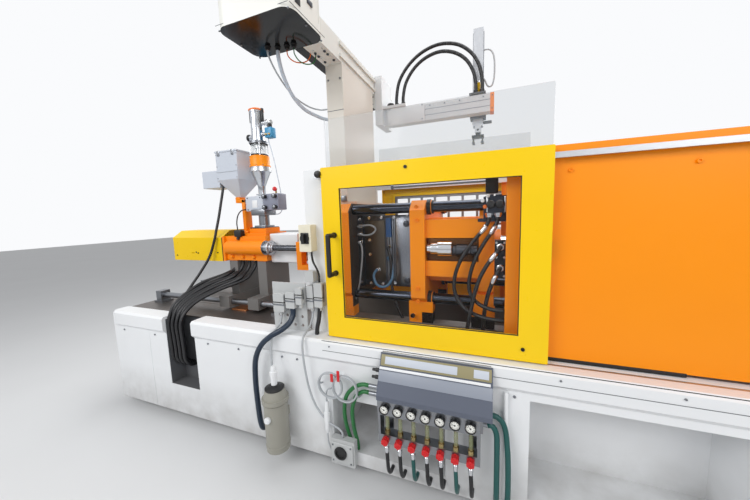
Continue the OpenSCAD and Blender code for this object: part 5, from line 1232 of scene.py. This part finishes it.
# %% Spare cable on its hooks
def hank_turn(x, z, radius, y, first, count, step=24):
    """Points along the loops of a hank, seen from the front, each a little further out than the last."""
    points = []
    for k in range(count):
        angle, reach = math.radians(first - step * k), radius + 3 * math.sin(0.42 * k)
        points.append((x + reach * math.cos(angle), y - 0.28 * k, z + reach * math.sin(angle)))
    return points


turns = [(-316, BASE_FRONT, 574), (-318, -678, 578), (-319, -692, 594)]
turns += hank_turn(-238, 588, 80, -696, 150, 48)
turns += hank_turn(-132, 594, 80, -710, 102, 50)
turns += [(-50, -720, 574), (-48, -704, 554), (-46, -682, 545), (-46, BASE_FRONT, 544)]
lay("spare_cable", turns, 11, "grey_cable", "bed")
hooks = []
for x, z, top in ((-206, 643, 686), (-162, 652, 712)):
    arm = turned("hook_arm", (x, -659, z), FRONT, [(0, 13), (5, 13), (6, 6), (71, 6), (72, 5)], 14)
    dress(arm, "sheet_white")
    hooks.append(block("hook_tongue", (x - 9, -736, z - 8), (x + 9, -729, top), 3))
group("cable_hooks", hooks, "red_plastic")
print("spare cable: 6 turns on 2 hooks")

# %% Inline plug, filter and socket box
dress(turned("inline_plug", (-277, -687, 470), (-0.02, 0, -1), [(0, 9), (12, 13), (70, 16), (74, 21), (130, 21),
    (134, 17), (190, 16), (206, 11), (214, 8)], 20), "sheet_white")
lay("shelf_cable", [(-362, -574, 1039.7), (-362, -580, 1000), (-364, -592, 950), (-370, -604, 905),
    (-372, -606, 864.3)], 28, "black_hose", "bed")
lay("plug_lead", [(-236, BASE_FRONT, 560), (-238, -676, 560), (-246, -688, 560), (-262, -689, 554),
    (-274, -688, 534), (-277, -687, 508), (-277, -687, 470.3)], 9, "grey_cable", "bed")
lay("lower_lead", [(-281, -687, 256.7), (-282, -687, 230), (-280, -688, 196), (-268, -688, 160), (-262, -682, 132),
    (-262, -672, 116), (-262, BASE_FRONT, 110)], 9, "grey_cable", "bed")
dress(turned("filter_cap", (-620, -755, 528), UP, [(0, 60), (3, 62), (10, 62), (13, 56), (20, 32), (26, 30)], 32),
    "black_plastic")
dress(turned("filter_connector", (-620, -755, 552), UP, [(0, 15), (6, 20), (60, 20), (64, 24), (92, 24), (96, 18),
    (118, 16), (130, 9)], 20), "sheet_white")
dress(turned("filter_valve", (-620, -829, 360), FRONT, [(0, 19), (4, 21), (16, 21), (18, 14), (24, 14)], 16),
    "sheet_white")
group("filter_bands", [turned("filter_band", (-620, -755, z), UP, [(0, 75), (1.5, 78), (10, 78), (11.5, 75)], 32)
    for z in (150, 430)], "filter_grey")
dress(block("socket_lid", (-248, -712, 88), (-98, -698, 220), 14, 4), "grey_plastic")
dress(turned("socket_ring", (-180, -711, 160), FRONT, [(0, 40), (3, 42), (10, 42), (12, 37), (12.5, 30), (5, 28)],
    32), "black_plastic")
screws("socket_screws", [(x, -711.6, z) for x in (-234, -112) for z in (102, 206)], FRONT, 5, "ground_steel", "bed",
    12)
print("lower pieces: inline plug, filter parts, socket lid and ring")

# %% [markdown]
# The shelf is a folded white sheet with a dark joint along its face and small screws. Behind it, on the oily deck,
# lie copper-coloured cover plates and white cable clips.

# %% Shelf joint, deck plates and clips
dress(block("shelf_joint", (-290, -686.4, 800), (2350, -684.6, 803), 0.5, 1), "dark_grey_plastic")
shelf_screws = [(x, -686, 832) for x in (-240, 120, 560, 980, 1420, 1880, 2300)]
screws("shelf_screws", shelf_screws, FRONT, 5, "ground_steel", "bed", 12)
group("deck_covers", [block("deck_plate", (-1830, -118, 850), (-1480, -20, 860), 2),
    block("deck_plate", (-1400, -330, 850), (-1240, -130, 862), 2)], "copper")
group("deck_clips", [block("clip", (x, -150, 850), (x + 46, -116, 882), 6) for x in (-840, -770, -700)],
    "sheet_white")
print("shelf and deck pieces: joint, screws, covers, clips")

# %% [markdown]
# ## Floor and light
# A pale floor and a white surround keep all attention on the machine. The world gives an even level, so that paint
# renders about as it was mixed, and three large soft lamps give the shapes their shade and the metal its streaks.

# %% Pale floor
def pale_floor():
    bpy.ops.object.select_all(action="DESELECT")
    bpy.ops.mesh.primitive_plane_add(size=60, location=(0, 0, 0))
    floor = bpy.context.object
    floor.name = "floor"
    material, tree, shader, place = new_finish("pale_floor")
    cloud = noise(tree, place, 0.7, 4.0)
    feed(tree, shader, {"Base Color": blended(tree, cloud, linear(206, 207, 208), linear(216, 217, 218)),
        "Roughness": between(tree, cloud, 0.5, 0.62)})
    floor.data.materials.append(material)
    return floor


pale_floor()
print("floor laid")


# %% Even surround and soft lamps
def surround(level):
    world = bpy.data.worlds.new("surround")
    bpy.context.scene.world = world
    world.use_nodes = True
    tree = world.node_tree
    tree.nodes.clear()
    path = add(tree, "ShaderNodeLightPath").outputs
    seen = math_node(tree, "MAXIMUM", path["Is Camera Ray"], path["Is Transmission Ray"])
    seen = math_node(tree, "MAXIMUM", seen, math_node(tree, "MULTIPLY", path["Is Glossy Ray"], 0.6))
    even = add(tree, "ShaderNodeBackground", {"Color": linear(250, 251, 253), "Strength": level})
    bright = add(tree, "ShaderNodeBackground", {"Color": linear(250, 251, 253), "Strength": 1.0})
    both = add(tree, "ShaderNodeMixShader", {0: seen, 1: even.outputs[0], 2: bright.outputs[0]})
    out = add(tree, "ShaderNodeOutputWorld")
    tree.links.new(both.outputs[0], out.inputs["Surface"])


def soft_lamp(name, place, target, width, depth, power):
    data = bpy.data.lights.new(name, "AREA")
    data.shape = "RECTANGLE"
    data.size, data.size_y, data.energy = width, depth, power
    lamp = bpy.data.objects.new(name, data)
    bpy.context.scene.collection.objects.link(lamp)
    lamp.location = place
    lamp.rotation_euler = (Vector(target) - Vector(place)).to_track_quat("-Z", "Y").to_euler()
    return lamp


surround(0.48)
soft_lamp("front_left", (-2.6, -4.6, 4.2), (0, 0, 1.1), 3.4, 2.4, 140)
soft_lamp("front_right", (3.8, -4.2, 3.9), (0.8, 0, 1.2), 3.0, 2.4, 95)
soft_lamp("overhead", (0.2, 0.6, 5.4), (0.1, 0, 1.2), 5.0, 2.6, 165)
soft_lamp("behind", (-0.5, 4.8, 3.8), (0, 0, 1.2), 4.0, 2.0, 90)
